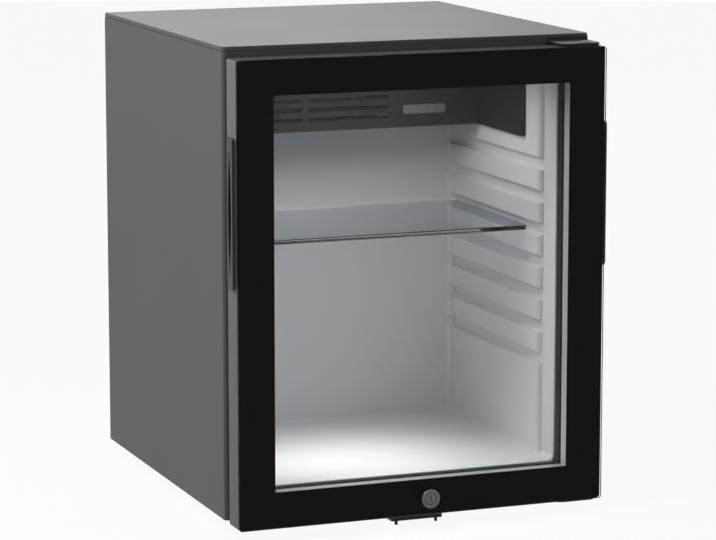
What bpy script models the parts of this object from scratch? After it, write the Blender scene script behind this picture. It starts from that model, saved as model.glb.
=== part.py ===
"""Small glass-door minibar fridge with a silent absorption cooling unit.

Run with: blender --background --python part.py
Units are metres, +Z is up and the door faces -Y. The origin is on the floor, at the
middle of the overall width and depth. Pieces are modelled from the case datum, an empty
at the case's front face (y = 0), its middle (x = 0) and its underside (z = 0).
"""
import math

import bmesh
import bpy
from mathutils import Vector

# Fit between neighbouring pieces
GAP = 0.0003
CUT = 0.002

# Case of folded steel sheet
CASE_WIDTH = 0.400
CASE_DEPTH = 0.404
CASE_HEIGHT = 0.4825
SHEET = 0.0010
CASE_CORNER = 0.004
FOLD_CORNER = 0.002
SIDE_RETURN = 0.010
REAR_RETURN = 0.012
CAP_LIP = 0.0042
CAP_SEAM = 0.0006
CAP_ROUND = 0.0006
BASE_LIP = 0.010

# Feet
FOOT_HEIGHT = 0.0165
FOOT_RADIUS = 0.0148
FOOT_TOP_RADIUS = 0.0125
FOOT_SPIGOT_RADIUS = 0.0040
FOOT_SPIGOT_LENGTH = 0.0040
FOOT_SIDE_INSET = 0.052
FOOT_FRONT_INSET = 0.062
FOOT_REAR_INSET = 0.050

# Insulated compartment
SIDE_WALL = 0.035
FLOOR_WALL = 0.0325
CEILING_WALL = 0.0355
INTERIOR_DEPTH = 0.270
REAR_WALL = 0.040
LINER_WALL = 0.0020
LINER_CORNER = 0.006
LINER_REAR_CORNER = 0.004
LINER_FLANGE = 0.017
FRAME_REVEAL = 0.0015

# Shelf runners formed in the liner's side walls
RUNNER_SETBACK = 0.031
RUNNER_PROUD = 0.006
RUNNER_COUNT = 7
RUNNER_DROP = 0.0974
RUNNER_PITCH = 0.0345
RUNNER_GAP = 0.0125
SHELF_RUNNER = 2

# Glass shelf
SHELF_GLASS = 0.005
SHELF_FRONT = 0.068
SHELF_SIDE_PLAY = 0.001
SHELF_REAR_PLAY = 0.008

# Cover over the evaporator
COVER_DEEP = 0.090
COVER_DROP = 0.078
COVER_WALL = 0.0020
COVER_CHEEK = 0.006
COVER_CHEEK_REACH = 0.115
COVER_CHEEK_ROUND = 0.0024
COVER_REAR_PLAY = 0.010
LOUVRE_ROWS = 6
LOUVRE_COLUMNS = 2
LOUVRE_PITCH = 0.0105
LOUVRE_SLOT = 0.004
LOUVRE_MARGIN = 0.012
LOUVRE_BRIDGE = 0.008
LOUVRE_CLEAR = 0.0167

# Evaporator, its tube and its tray
TUBE_RADIUS = 0.007
EVAPORATOR_RISE = 0.031
EVAPORATOR_SETBACK = 0.048
EVAPORATOR_LEFT_INSET = 0.019
EVAPORATOR_RIGHT_INSET = 0.099
EVAPORATOR_BEND = 0.012
EVAPORATOR_FIN_MARGIN = 0.020
EVAPORATOR_FIN_PITCH = 0.014
EVAPORATOR_FIN_DEPTH = 0.062
EVAPORATOR_FIN_HEIGHT = 0.054
EVAPORATOR_FIN = 0.0010
FIN_SLEEVE = 0.0012
GROMMET_WALL = 0.0030
TRAY_HEIGHT = 0.009
TRAY_WALL = 0.0015
TRAY_CORNER = 0.003

# Lamp and thermostat beside the louvres
CONTROLS_INSET = 0.0685
LAMP_RISE = 0.019
LAMP_WIDTH = 0.049
LAMP_TALL = 0.010
LAMP_DEEP = 0.006
LAMP_CORNER = 0.002
LAMP_RECESS = 0.001
LAMP_BOARD = 0.0016
LAMP_BOARD_END = 0.005
LAMP_BOARD_SIDE = 0.0025
KNOB_RISE = 0.053
KNOB_RADIUS = 0.0130
KNOB_DEEP = 0.010
KNOB_TAPER = 0.0013
KNOB_EDGE = 0.001
KNOB_MARK_WIDE = 0.0013
KNOB_MARK_LONG = 0.0104
KNOB_MARK_DEEP = 0.0007
KNOB_STEM_RADIUS = 0.0035
THERMOSTAT_WIDTH = 0.042
THERMOSTAT_TALL = 0.032
THERMOSTAT_DEEP = 0.028

# Cooling unit in the rear bay
BAY_MIDDLE = 0.047
BOILER_INSET = 0.065
BOILER_RADIUS = 0.010
BOILER_BOTTOM = 0.045
BOILER_DROP = 0.1085
JACKET_RADIUS = 0.032
JACKET_BOTTOM = 0.055
JACKET_DROP = 0.030
CLAMP_SHEET = 0.0015
CLAMP_TALL = 0.016
CLAMP_INSET_LOW = 0.050
CLAMP_INSET_HIGH = 0.055
CLAMP_ARM = 0.0053
CONDENSER_DROP = 0.044
CONDENSER_INSET = 0.094
CONDENSER_FALL = 0.004
CONDENSER_FIN_MARGIN = 0.026
CONDENSER_FIN_PITCH = 0.014
CONDENSER_FIN_SIZE = 0.044
CONDENSER_FIN = 0.0008
PIPE_BEND = 0.016
COIL_CLEAR = 0.065
COIL_DROP = 0.100
COIL_PASSES = 4
COIL_PITCH = 0.038
COIL_SETBACK = 0.036
VESSEL_RADIUS = 0.027
VESSEL_HEIGHT = 0.075
VESSEL_INSET = 0.035
VESSEL_CLEAR = 0.077
VESSEL_DOME = 0.0095
CRADLE_SHEET = 0.0030
CRADLE_INSET = 0.045
CRADLE_WIDTH = 0.060
RETURN_PIPE_RADIUS = 0.008
RETURN_PIPE_BEND = 0.012
RETURN_PIPE_HEIGHT = 0.020
RETURN_PIPE_STEP = 0.024

# Terminal box and mains inlet
BOX_WIDTH = 0.090
BOX_TALL = 0.052
BOX_DEEP = 0.038
BOX_WALL = 0.0020
BOX_CLEAR = 0.033
BOX_DROP = 0.023
INLET_WIDTH = 0.028
INLET_TALL = 0.020
INLET_DEEP = 0.018
INLET_RIM = 0.003
INLET_INSET = 0.0315
INLET_CORNER = 0.001
INLET_PIN_RADIUS = 0.0018
INLET_PIN_SPREAD = 0.007
INLET_PIN_DROP = 0.002
INLET_EARTH_RISE = 0.003
CABLE_RADIUS = 0.003
CABLE_RISE = 0.012
CABLE_BEND = 0.0072

# Door
DOOR_STANDOFF = 0.045
DOOR_TOP_DROP = 0.0096
DOOR_BOTTOM_DROP = 0.0014
DOOR_REAR_GAP = 0.0135
DOOR_CORNER = 0.003
FRONT_GLASS = 0.004
GLASS_ARRIS = 0.0008
PRINT = 0.0003
BORDER_SIDE = 0.0395
BORDER_TOP = 0.0363
BORDER_BOTTOM = 0.0369
SPACER_DEEP = 0.013
SPACER_WIDE = 0.007
INNER_GLASS = 0.004
GASKET_WIDE = 0.0165
GASKET_COVER = 0.0020
GASKET_FOOT = 0.0035
GASKET_WAIST = 0.0030
GASKET_CORNER = 0.004

# Finger grips in both door edges
GRIP_DROP = 0.0779
GRIP_LONG = 0.150
GRIP_WIDE = 0.0255
GRIP_PROUD = 0.0040
GRIP_REAR_PROUD = 0.0008
GRIP_POCKET_MARGIN = 0.0035
GRIP_DEEP = 0.014
GRIP_LENS_LONG = 0.128
GRIP_LENS_WIDE = 0.013
GRIP_WALL = 0.0015
GRIP_FLOOR_LONG = 0.110
GRIP_FLOOR_WIDE = 0.0091
LENS_FULLNESS = 0.8

# Hinges
HINGE_INSET = 0.016
HINGE_FORWARD = 0.027
PIN_RADIUS = 0.0035
PIN_HEAD_RADIUS = 0.0055
PIN_HEAD = 0.0012
PIN_LENGTH = 0.020
BUSH_WALL = 0.0025
BUSH_LENGTH = 0.016
HINGE_LEAF = 0.0025
HINGE_LEAF_GAP = 0.0006
HINGE_LEAF_WIDE = 0.045
HINGE_LEAF_RIGHT = 0.002
HINGE_LEAF_FRONT = 0.037
HINGE_FLANGE = 0.009
HINGE_TOP_RISE = 0.004
HINGE_LEAF_CORNER = 0.0075
HINGE_SCREW_INSET = 0.0076

# Screws
SCREW_HEAD_RADIUS = 0.0028
SCREW_HEAD = 0.0014
SCREW_HEAD_ROUND = 0.0008

# Lock and catch
LOCK_X = 0.007
LOCK_HEIGHT = 0.0150
LOCK_BEZEL_RADIUS = 0.0100
LOCK_BEZEL = 0.0012
LOCK_BEZEL_ROUND = 0.0007
LOCK_BARREL_RADIUS = 0.0088
LOCK_BARREL_LENGTH = 0.0215
LOCK_PLUG_RADIUS = 0.0060
KEYWAY_WIDE = 0.0012
KEYWAY_TALL = 0.0062
KEYWAY_DEEP = 0.003
CAM_LENGTH = 0.0215
CAM_WIDE = 0.010
CAM_SHEET = 0.0025
CAM_POCKET_PLAY = 0.002
CATCH_LEFT = -0.027
CATCH_RIGHT = 0.029
CATCH_SHEET = 0.002
CATCH_DROP = 0.0115
CATCH_LIP = 0.0070
CATCH_PLAY = 0.001
CATCH_FOOT = 0.034
CATCH_STUD_RADIUS = 0.0018
CATCH_STUD_LENGTH = 0.0042
CATCH_STUD_INSET = 0.006
CATCH_STUD_BACK = 0.0027
CATCH_SCREW_BACK = 0.0204

# Places worked out from the sizes above
HALF_WIDTH = CASE_WIDTH / 2
ROOM_HALF = HALF_WIDTH - SIDE_WALL
ROOM_FLOOR = FLOOR_WALL
ROOM_CEILING = CASE_HEIGHT - CEILING_WALL
RUNNER_HALF = ROOM_HALF - RUNNER_PROUD
RUNNER_LOW = ROOM_CEILING - RUNNER_DROP - RUNNER_GAP - RUNNER_PITCH * (RUNNER_COUNT - 1)
BULKHEAD_Y = INTERIOR_DEPTH + REAR_WALL
BAY_FRONT = BULKHEAD_Y + GAP + SHEET
COVER_FRONT = INTERIOR_DEPTH - COVER_DEEP
COVER_BOTTOM = ROOM_CEILING - COVER_DROP
COVER_BACK = COVER_FRONT + COVER_WALL
EVAPORATOR_HEIGHT = COVER_BOTTOM + EVAPORATOR_RISE
EVAPORATOR_LEFT = EVAPORATOR_LEFT_INSET - RUNNER_HALF
EVAPORATOR_RIGHT = RUNNER_HALF - EVAPORATOR_RIGHT_INSET
CONTROLS_X = RUNNER_HALF - CONTROLS_INSET
KNOB_HEIGHT = COVER_BOTTOM + KNOB_RISE
UNIT_Y = BAY_FRONT + BAY_MIDDLE
COIL_Y = BAY_FRONT + COIL_SETBACK
PORT_Y = BAY_FRONT + TUBE_RADIUS + GAP
BOILER_X = HALF_WIDTH - BOILER_INSET
CONDENSER_HEIGHT = CASE_HEIGHT - CONDENSER_DROP
CONDENSER_LEFT = CONDENSER_INSET - HALF_WIDTH
BOILER_TOP = CONDENSER_HEIGHT - BOILER_DROP
JACKET_TOP = BOILER_TOP - JACKET_DROP
CLAMP_LOW = JACKET_BOTTOM + CLAMP_INSET_LOW
CLAMP_HIGH = JACKET_TOP - CLAMP_INSET_HIGH
VESSEL_LEFT = VESSEL_INSET - HALF_WIDTH
VESSEL_RIGHT = BOILER_X - VESSEL_CLEAR
BOX_LEFT = BOILER_X - JACKET_RADIUS - BOX_CLEAR - BOX_WIDTH
BOX_BOTTOM = EVAPORATOR_HEIGHT - BOX_DROP - BOX_TALL
CAP_BOTTOM = CASE_HEIGHT - CAP_LIP
BASE_FRONT = CASE_CORNER + GAP
DOOR_FACE = -DOOR_STANDOFF
DOOR_REAR = -DOOR_REAR_GAP
DOOR_LOW = -DOOR_BOTTOM_DROP
DOOR_HIGH = CASE_HEIGHT - DOOR_TOP_DROP
GLASS_BACK = DOOR_FACE + FRONT_GLASS
PRINT_BACK = GLASS_BACK + GAP + PRINT
FRAME_FRONT = PRINT_BACK + GAP
WINDOW_HALF = HALF_WIDTH - BORDER_SIDE
WINDOW_LOW = DOOR_LOW + BORDER_BOTTOM
WINDOW_HIGH = DOOR_HIGH - BORDER_TOP
GRIP_MIDDLE = ((FRAME_FRONT + DOOR_REAR) / 2, DOOR_HIGH - GRIP_DROP - GRIP_LONG / 2)
GLAZING_LOW = (-WINDOW_HALF - SPACER_WIDE, WINDOW_LOW - SPACER_WIDE)
GLAZING_HIGH = (WINDOW_HALF + SPACER_WIDE, WINDOW_HIGH + SPACER_WIDE)
HINGE_X = HALF_WIDTH - HINGE_INSET
HINGE_Y = -HINGE_FORWARD
KNOB_FACE = COVER_FRONT - GAP
LOCK_PLUG_FRONT = DOOR_FACE - LOCK_BEZEL / 2
CAM_FRONT = GLASS_BACK + LOCK_BARREL_LENGTH + GAP
CATCH_FACE = CAM_FRONT - CATCH_PLAY - CATCH_SHEET


def material(name, colour, roughness, metallic=0.0, alpha=1.0):
    """A plain surface finish."""
    finish = bpy.data.materials.new(name)
    finish.use_nodes = True
    shader = finish.node_tree.nodes["Principled BSDF"]
    shader.inputs["Base Color"].default_value = (*colour, 1.0)
    shader.inputs["Roughness"].default_value = roughness
    shader.inputs["Metallic"].default_value = metallic
    shader.inputs["Alpha"].default_value = alpha
    finish.diffuse_color = (*colour, alpha)
    return finish


def empty(name, place, parent=None):
    """An axis or datum that pieces hang on, at a place given from the case datum."""
    point = bpy.data.objects.new(name, None)
    point.empty_display_size = 0.02
    bpy.context.scene.collection.objects.link(point)
    point.parent = parent
    point.location = Vector(place) - datum_place(parent)
    return point


def datum_place(holder):
    """Where an empty stands, measured from the case datum."""
    place = Vector((0, 0, 0))
    while holder and holder.parent:
        place += holder.location
        holder = holder.parent
    return place


def arc(centre, radius, start, end, steps):
    """Points along a circular arc, angles in degrees."""
    angles = [math.radians(start + (end - start) * i / steps) for i in range(steps + 1)]
    return [(centre[0] + radius * math.cos(a), centre[1] + radius * math.sin(a)) for a in angles]


def circle(centre, radius, sides):
    """A closed loop of points round a circle."""
    return arc(centre, radius, 0, 360 - 360 / sides, sides - 1)


def rounded(points, radii, steps=3):
    """A closed outline whose corners are arcs, each of its own radius."""
    outline = []
    for i, radius in enumerate(radii):
        corner = Vector(points[i])
        if radius <= 0:
            outline.append(tuple(corner))
            continue
        before = (Vector(points[i - 1]) - corner).normalized()
        after = (Vector(points[(i + 1) % len(points)]) - corner).normalized()
        half = before.angle(after) / 2
        middle = corner + (before + after).normalized() * radius / math.sin(half)
        first = corner + before * radius / math.tan(half) - middle
        turn = first.angle_signed(corner + after * radius / math.tan(half) - middle)
        for step in range(steps + 1):
            angle = -turn * step / steps
            outline.append((middle.x + first.x * math.cos(angle) - first.y * math.sin(angle),
                            middle.y + first.x * math.sin(angle) + first.y * math.cos(angle)))
    return outline


def rectangle(low, high, radius=0.0, steps=3):
    """A rectangle's outline between two corners."""
    points = [(low[0], low[1]), (high[0], low[1]), (high[0], high[1]), (low[0], high[1])]
    return rounded(points, [radius] * 4, steps)


def lift(outline, axis, value):
    """Put a flat outline at a place along an axis: X takes (y, z), Y (x, z), Z (x, y)."""
    if axis == "X":
        return [(value, a, b) for a, b in outline]
    if axis == "Y":
        return [(a, value, b) for a, b in outline]
    return [(a, b, value) for a, b in outline]


def skin(bm, loops, ring=False):
    """Skin equal loops of points; the ends are capped, or joined into a ring."""
    rows = [[bm.verts.new(point) for point in loop] for loop in loops]
    following = rows[1:] + rows[:1] if ring else rows[1:]
    for low, high in zip(rows, following):
        for i in range(len(low)):
            j = (i + 1) % len(low)
            bm.faces.new((low[i], low[j], high[j], high[i]))
    if not ring:
        bm.faces.new(rows[0][::-1])
        bm.faces.new(rows[-1])


def prism(outline, axis, low, high, bm=None):
    """An outline extruded along an axis, alone or added to other solids."""
    bm = bm or bmesh.new()
    skin(bm, [lift(outline, axis, low), lift(outline, axis, high)])
    return bm


def block(low, high, bm=None):
    """A box between two corners."""
    return prism(rectangle(low[:2], high[:2]), "Z", low[2], high[2], bm)


def turned(profile, axis, centre, sides, bm=None, ring=False):
    """A round solid: (radius, place along the axis) points turned about that axis."""
    bm = bm or bmesh.new()
    skin(bm, [lift(circle(centre, radius, sides), axis, place) for radius, place in profile], ring)
    return bm


def border(profile, low, high, corner, bm=None):
    """A frame in the XZ plane: (inset, y) points carried round a rounded rectangle."""
    bm = bm or bmesh.new()
    loops = []
    for inset, place in profile:
        radius = max(corner - inset, 0.0008)
        outline = rectangle((low[0] + inset, low[1] + inset), (high[0] - inset, high[1] - inset), radius)
        loops.append(lift(outline, "Y", place))
    skin(bm, loops, ring=True)
    return bm


def flat_border(front, rear, width, low, high, corner):
    """A frame of rectangular section."""
    return border([(0.0, front), (0.0, rear), (width, rear), (width, front)], low, high, corner)


def open_plate(outside, window, front, rear):
    """A plate facing along Y with a window through it."""
    bm = bmesh.new()
    skin(bm, [lift(outside, "Y", front), lift(outside, "Y", rear), lift(window, "Y", rear),
              lift(window, "Y", front)], ring=True)
    return bm


def tray_shell(low, high, corner, wall, axis, mouth, back):
    """An open tray: a rectangle of walls with one closed side, the back."""
    outer = rectangle(low, high, corner)
    inner_corner = max(corner - wall, 0.0005)
    inner = rectangle((low[0] + wall, low[1] + wall), (high[0] - wall, high[1] - wall), inner_corner)
    floor = back + math.copysign(wall, mouth - back)
    bm = bmesh.new()
    skin(bm, [lift(outer, axis, back), lift(outer, axis, mouth),
              lift(inner, axis, mouth), lift(inner, axis, floor)])
    return bm


def spread(middle, pitch, count):
    """Evenly pitched places about a middle."""
    return [middle + pitch * (i - (count - 1) / 2) for i in range(count)]


def finish_mesh(name, bm):
    """Turn a bmesh into a mesh whose faces all point outwards."""
    bmesh.ops.remove_doubles(bm, verts=bm.verts, dist=1e-6)
    bmesh.ops.recalc_face_normals(bm, faces=bm.faces)
    mesh = bpy.data.meshes.new(name)
    bm.to_mesh(mesh)
    bm.free()
    return mesh


def solid(name, bm, surface, parent, smooth=False):
    """A named piece; its points are given from the case datum, its origin is its parent's."""
    mesh = finish_mesh(name, bm)
    shift = datum_place(parent)
    for vertex in mesh.vertices:
        vertex.co -= shift
    if smooth:
        mesh.shade_smooth()
        mesh.set_sharp_from_angle(angle=math.radians(35))
    piece = bpy.data.objects.new(name, mesh)
    bpy.context.scene.collection.objects.link(piece)
    piece.parent = parent
    mesh.materials.append(surface)
    return piece


def boolean(piece, bm, operation):
    """Cut a shape out of a piece, or add one to it."""
    tool = bpy.data.objects.new(piece.name + "_" + operation.lower(), finish_mesh("tool", bm))
    bpy.context.scene.collection.objects.link(tool)
    tool.parent = piece.parent
    shift = datum_place(piece.parent)
    for vertex in tool.data.vertices:
        vertex.co -= shift
    tool.hide_render = True
    tool.display_type = "WIRE"
    modifier = piece.modifiers.new(operation.lower(), "BOOLEAN")
    modifier.operation = operation
    modifier.solver = "EXACT"
    modifier.object = tool


def cut(piece, bm):
    boolean(piece, bm, "DIFFERENCE")


def add(piece, bm):
    boolean(piece, bm, "UNION")


def soften(piece, width, segments=2, angle=40):
    """Round a piece's sharp edges."""
    bevel = piece.modifiers.new("soften", "BEVEL")
    bevel.width = width
    bevel.segments = segments
    bevel.limit_method = "ANGLE"
    bevel.angle_limit = math.radians(angle)


def bent(points, radius, steps=3):
    """A pipe's middle line: straight runs joined by arcs."""
    line = [Vector(points[0])]
    last_corner = len(points) - 2
    for number, corner in enumerate(points[1:-1], 1):
        corner = Vector(corner)
        back = Vector(points[number - 1]) - corner
        on = Vector(points[number + 1]) - corner
        half = back.angle(on) / 2
        room = min(back.length / (1 if number == 1 else 2), on.length / (1 if number == last_corner else 2))
        bend = min(radius, room * math.tan(half))
        reach = bend / math.tan(half)
        middle = corner + (back.normalized() + on.normalized()).normalized() * bend / math.sin(half)
        first = (corner + back.normalized() * reach - middle).normalized()
        last = (corner + on.normalized() * reach - middle).normalized()
        for step in range(steps + 1):
            line.append(middle + first.slerp(last, step / steps) * bend)
    line.append(Vector(points[-1]))
    return line


def pipe(name, line, radius, surface, parent, fineness=3):
    """A round tube along a line of points."""
    curve = bpy.data.curves.new(name, "CURVE")
    curve.dimensions = "3D"
    curve.bevel_depth = radius
    curve.bevel_resolution = fineness
    curve.use_fill_caps = True
    spline = curve.splines.new("POLY")
    spline.points.add(len(line) - 1)
    for point, place in zip(spline.points, line):
        point.co = (*place, 1.0)
    curve.materials.append(surface)
    piece = bpy.data.objects.new(name, curve)
    bpy.context.scene.collection.objects.link(piece)
    piece.parent = parent
    return piece


def make_finishes():
    """The finish of each kind of piece."""
    return {
        "case_paint": material("case_paint", (0.035, 0.035, 0.036), 0.45, 0.3),
        "liner_plastic": material("liner_plastic", (0.62, 0.63, 0.64), 0.4),
        "foam": material("foam", (0.75, 0.66, 0.42), 0.9),
        "galvanised": material("galvanised", (0.45, 0.46, 0.47), 0.4, 0.9),
        "dark_plastic": material("dark_plastic", (0.03, 0.03, 0.032), 0.4),
        "white_plastic": material("white_plastic", (0.75, 0.75, 0.74), 0.4),
        "lamp_lens": material("lamp_lens", (0.9, 0.9, 0.88), 0.2),
        "circuit_board": material("circuit_board", (0.03, 0.16, 0.07), 0.5),
        "aluminium": material("aluminium", (0.7, 0.71, 0.72), 0.3, 1.0),
        "black_paint": material("black_paint", (0.02, 0.02, 0.02), 0.4, 0.5),
        "rubber": material("rubber", (0.015, 0.015, 0.015), 0.7),
        "glass": material("glass", (0.85, 0.92, 0.92), 0.03, 0.0, 0.25),
        "black_print": material("black_print", (0.004, 0.004, 0.004), 0.2),
        "frame_plastic": material("frame_plastic", (0.08, 0.08, 0.082), 0.4),
        "chrome": material("chrome", (0.65, 0.65, 0.66), 0.2, 1.0),
    }


def make_case(body, finish):
    """Folded steel shell: two sides, a cap, a base, a front frame and a rear bulkhead."""
    side_x = HALF_WIDTH
    points = [(side_x - REAR_RETURN, CASE_DEPTH), (side_x - REAR_RETURN, CASE_DEPTH - SHEET),
              (side_x - SHEET, CASE_DEPTH - SHEET), (side_x - SHEET, SHEET),
              (side_x - SIDE_RETURN, SHEET), (side_x - SIDE_RETURN, 0.0),
              (side_x, 0.0), (side_x, CASE_DEPTH)]
    radii = [0, 0, FOLD_CORNER - SHEET, CASE_CORNER - SHEET, 0, 0, CASE_CORNER, FOLD_CORNER]
    outline = rounded(points, radii)
    side_top = CAP_BOTTOM - CAP_SEAM
    for name, sign in (("side_panel_right", 1), ("side_panel_left", -1)):
        panel = prism([(sign * x, y) for x, y in outline], "Z", 0.0, side_top)
        solid(name, panel, finish["case_paint"], body, smooth=True)

    outer = rectangle((-side_x, 0.0), (side_x, CASE_DEPTH), CASE_CORNER)
    inner = rectangle((SHEET - side_x, SHEET), (side_x - SHEET, CASE_DEPTH - SHEET), CASE_CORNER - SHEET)
    cap = bmesh.new()
    skin(cap, [lift(inner, "Z", CASE_HEIGHT - SHEET), lift(inner, "Z", CAP_BOTTOM),
               lift(outer, "Z", CAP_BOTTOM), lift(outer, "Z", CASE_HEIGHT)])
    cap = solid("top_cap", cap, finish["case_paint"], body)
    soften(cap, CAP_ROUND)

    inside = side_x - SHEET - GAP
    lip_front = BASE_FRONT + SHEET
    base_rear = CASE_DEPTH - FOLD_CORNER - GAP
    profile = [(lip_front - SHEET, 0.0), (base_rear, 0.0), (base_rear, BASE_LIP),
               (base_rear - SHEET, BASE_LIP), (base_rear - SHEET, SHEET), (lip_front, SHEET),
               (lip_front, BASE_LIP), (lip_front - SHEET, BASE_LIP)]
    base = solid("base_plate", prism(profile, "X", -inside, inside), finish["galvanised"], body)
    holes = bmesh.new()
    for _, x, y in foot_places():
        prism(circle((x, y), FOOT_SPIGOT_RADIUS + GAP, 12), "Z", -CUT, SHEET + CUT, holes)
    cut(base, holes)

    low = (SIDE_RETURN + GAP - side_x, GAP)
    high = (side_x - SIDE_RETURN - GAP, CAP_BOTTOM - CAP_SEAM)
    outside = rectangle(low, high, FRAME_REVEAL)
    window = rectangle((-ROOM_HALF - FRAME_REVEAL, ROOM_FLOOR - FRAME_REVEAL),
                       (ROOM_HALF + FRAME_REVEAL, ROOM_CEILING + FRAME_REVEAL), LINER_CORNER)
    solid("front_frame", open_plate(outside, window, 0.0, SHEET), finish["case_paint"], body)

    bulkhead = block((-inside, BULKHEAD_Y + GAP, SHEET + GAP), (inside, BAY_FRONT, CASE_HEIGHT - SHEET - GAP))
    bulkhead = solid("rear_bulkhead", bulkhead, finish["galvanised"], body)
    cut(bulkhead, tube_ports())


def foot_places():
    """Name and place of each foot."""
    places = []
    for row, y in (("front", FOOT_FRONT_INSET), ("rear", CASE_DEPTH - FOOT_REAR_INSET)):
        for side, sign in (("left", -1), ("right", 1)):
            places.append((f"foot_{row}_{side}", sign * (HALF_WIDTH - FOOT_SIDE_INSET), y))
    return places


def tube_ports():
    """Cutter for the two holes where the evaporator's tube passes the rear wall."""
    ports = bmesh.new()
    for x in (EVAPORATOR_LEFT, EVAPORATOR_RIGHT):
        prism(circle((x, EVAPORATOR_HEIGHT), TUBE_RADIUS + GROMMET_WALL + 2 * GAP, 16), "Y",
              INTERIOR_DEPTH - CUT, BAY_FRONT + CUT, ports)
    return ports


def make_feet(body, finish):
    """Four moulded feet that clip into the base plate."""
    for name, x, y in foot_places():
        profile = [(FOOT_RADIUS - SHEET, -FOOT_HEIGHT), (FOOT_RADIUS, SHEET - FOOT_HEIGHT),
                   (FOOT_TOP_RADIUS, -GAP), (FOOT_SPIGOT_RADIUS, -GAP),
                   (FOOT_SPIGOT_RADIUS, FOOT_SPIGOT_LENGTH)]
        solid(name, turned(profile, "Z", (x, y), 20), finish["rubber"], body, smooth=True)


def room_section(grow, step, shrink):
    """Cross-section of the compartment, grown by a wall; step is how proud the runners are."""
    wall = ROOM_HALF + grow - step
    slot = ROOM_HALF + grow
    low = ROOM_FLOOR - grow + shrink
    high = ROOM_CEILING + grow - shrink
    right = [(wall - shrink, low)]
    radii = [LINER_CORNER + grow]
    for level in range(RUNNER_COUNT):
        bottom = RUNNER_LOW + RUNNER_PITCH * level - grow + shrink
        top = RUNNER_LOW + RUNNER_PITCH * level + RUNNER_GAP + grow - shrink
        right += [(wall - shrink, bottom), (slot - shrink, bottom),
                  (slot - shrink, top), (wall - shrink, top)]
        radii += [0, 0, 0, 0]
    right.append((wall - shrink, high))
    radii.append(LINER_CORNER + grow)
    left = [(-x, z) for x, z in reversed(right)]
    return rounded(right + left, radii + radii[::-1])


def room(grow, front):
    """The compartment's space as a solid, grown by a wall, from a front place to its rear."""
    bm = bmesh.new()
    sections = [(front, 0.0, 0.0)]
    for turn in range(4):
        angle = math.radians(90 * turn / 3)
        place = RUNNER_SETBACK + RUNNER_PROUD * (1 - math.cos(angle)) + grow
        sections.append((place, RUNNER_PROUD * math.sin(angle), 0.0))
    rear = INTERIOR_DEPTH + grow
    for turn in range(4):
        angle = math.radians(90 * turn / 3)
        place = rear - LINER_REAR_CORNER * (1 - math.sin(angle))
        sections.append((place, RUNNER_PROUD, LINER_REAR_CORNER * (1 - math.cos(angle))))
    skin(bm, [lift(room_section(grow, step, shrink), "Y", place) for place, step, shrink in sections])
    return bm


def make_compartment(body, finish):
    """Thermoformed liner with shelf runners, and the foam round it."""
    flange_front = SHEET + GAP + GAP / 2
    flange_rear = flange_front + LINER_WALL
    liner = solid("inner_liner", room(LINER_WALL, flange_front), finish["liner_plastic"], body)
    reach = LINER_FLANGE
    flange = rectangle((-ROOM_HALF - reach, ROOM_FLOOR - reach),
                       (ROOM_HALF + reach, ROOM_CEILING + reach), LINER_CORNER)
    add(liner, prism(flange, "Y", flange_front, flange_rear))
    cut(liner, room(0.0, -CUT))
    cut(liner, tube_ports())

    foam_half = HALF_WIDTH - SHEET - GAP
    foam_front = max(flange_rear, BASE_FRONT + SHEET) + GAP
    foam = block((-foam_half, foam_front, SHEET + GAP), (foam_half, BULKHEAD_Y, CASE_HEIGHT - SHEET - GAP))
    foam = solid("foam_insulation", foam, finish["foam"], body)
    cut(foam, room(LINER_WALL + GAP, -CUT))
    cut(foam, tube_ports())
    holes = bmesh.new()
    for _, x, y in foot_places()[:2]:
        prism(circle((x, y), FOOT_SPIGOT_RADIUS + SHEET, 12), "Z", -CUT, FOOT_SPIGOT_LENGTH + SHEET, holes)
    cut(foam, holes)


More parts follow.
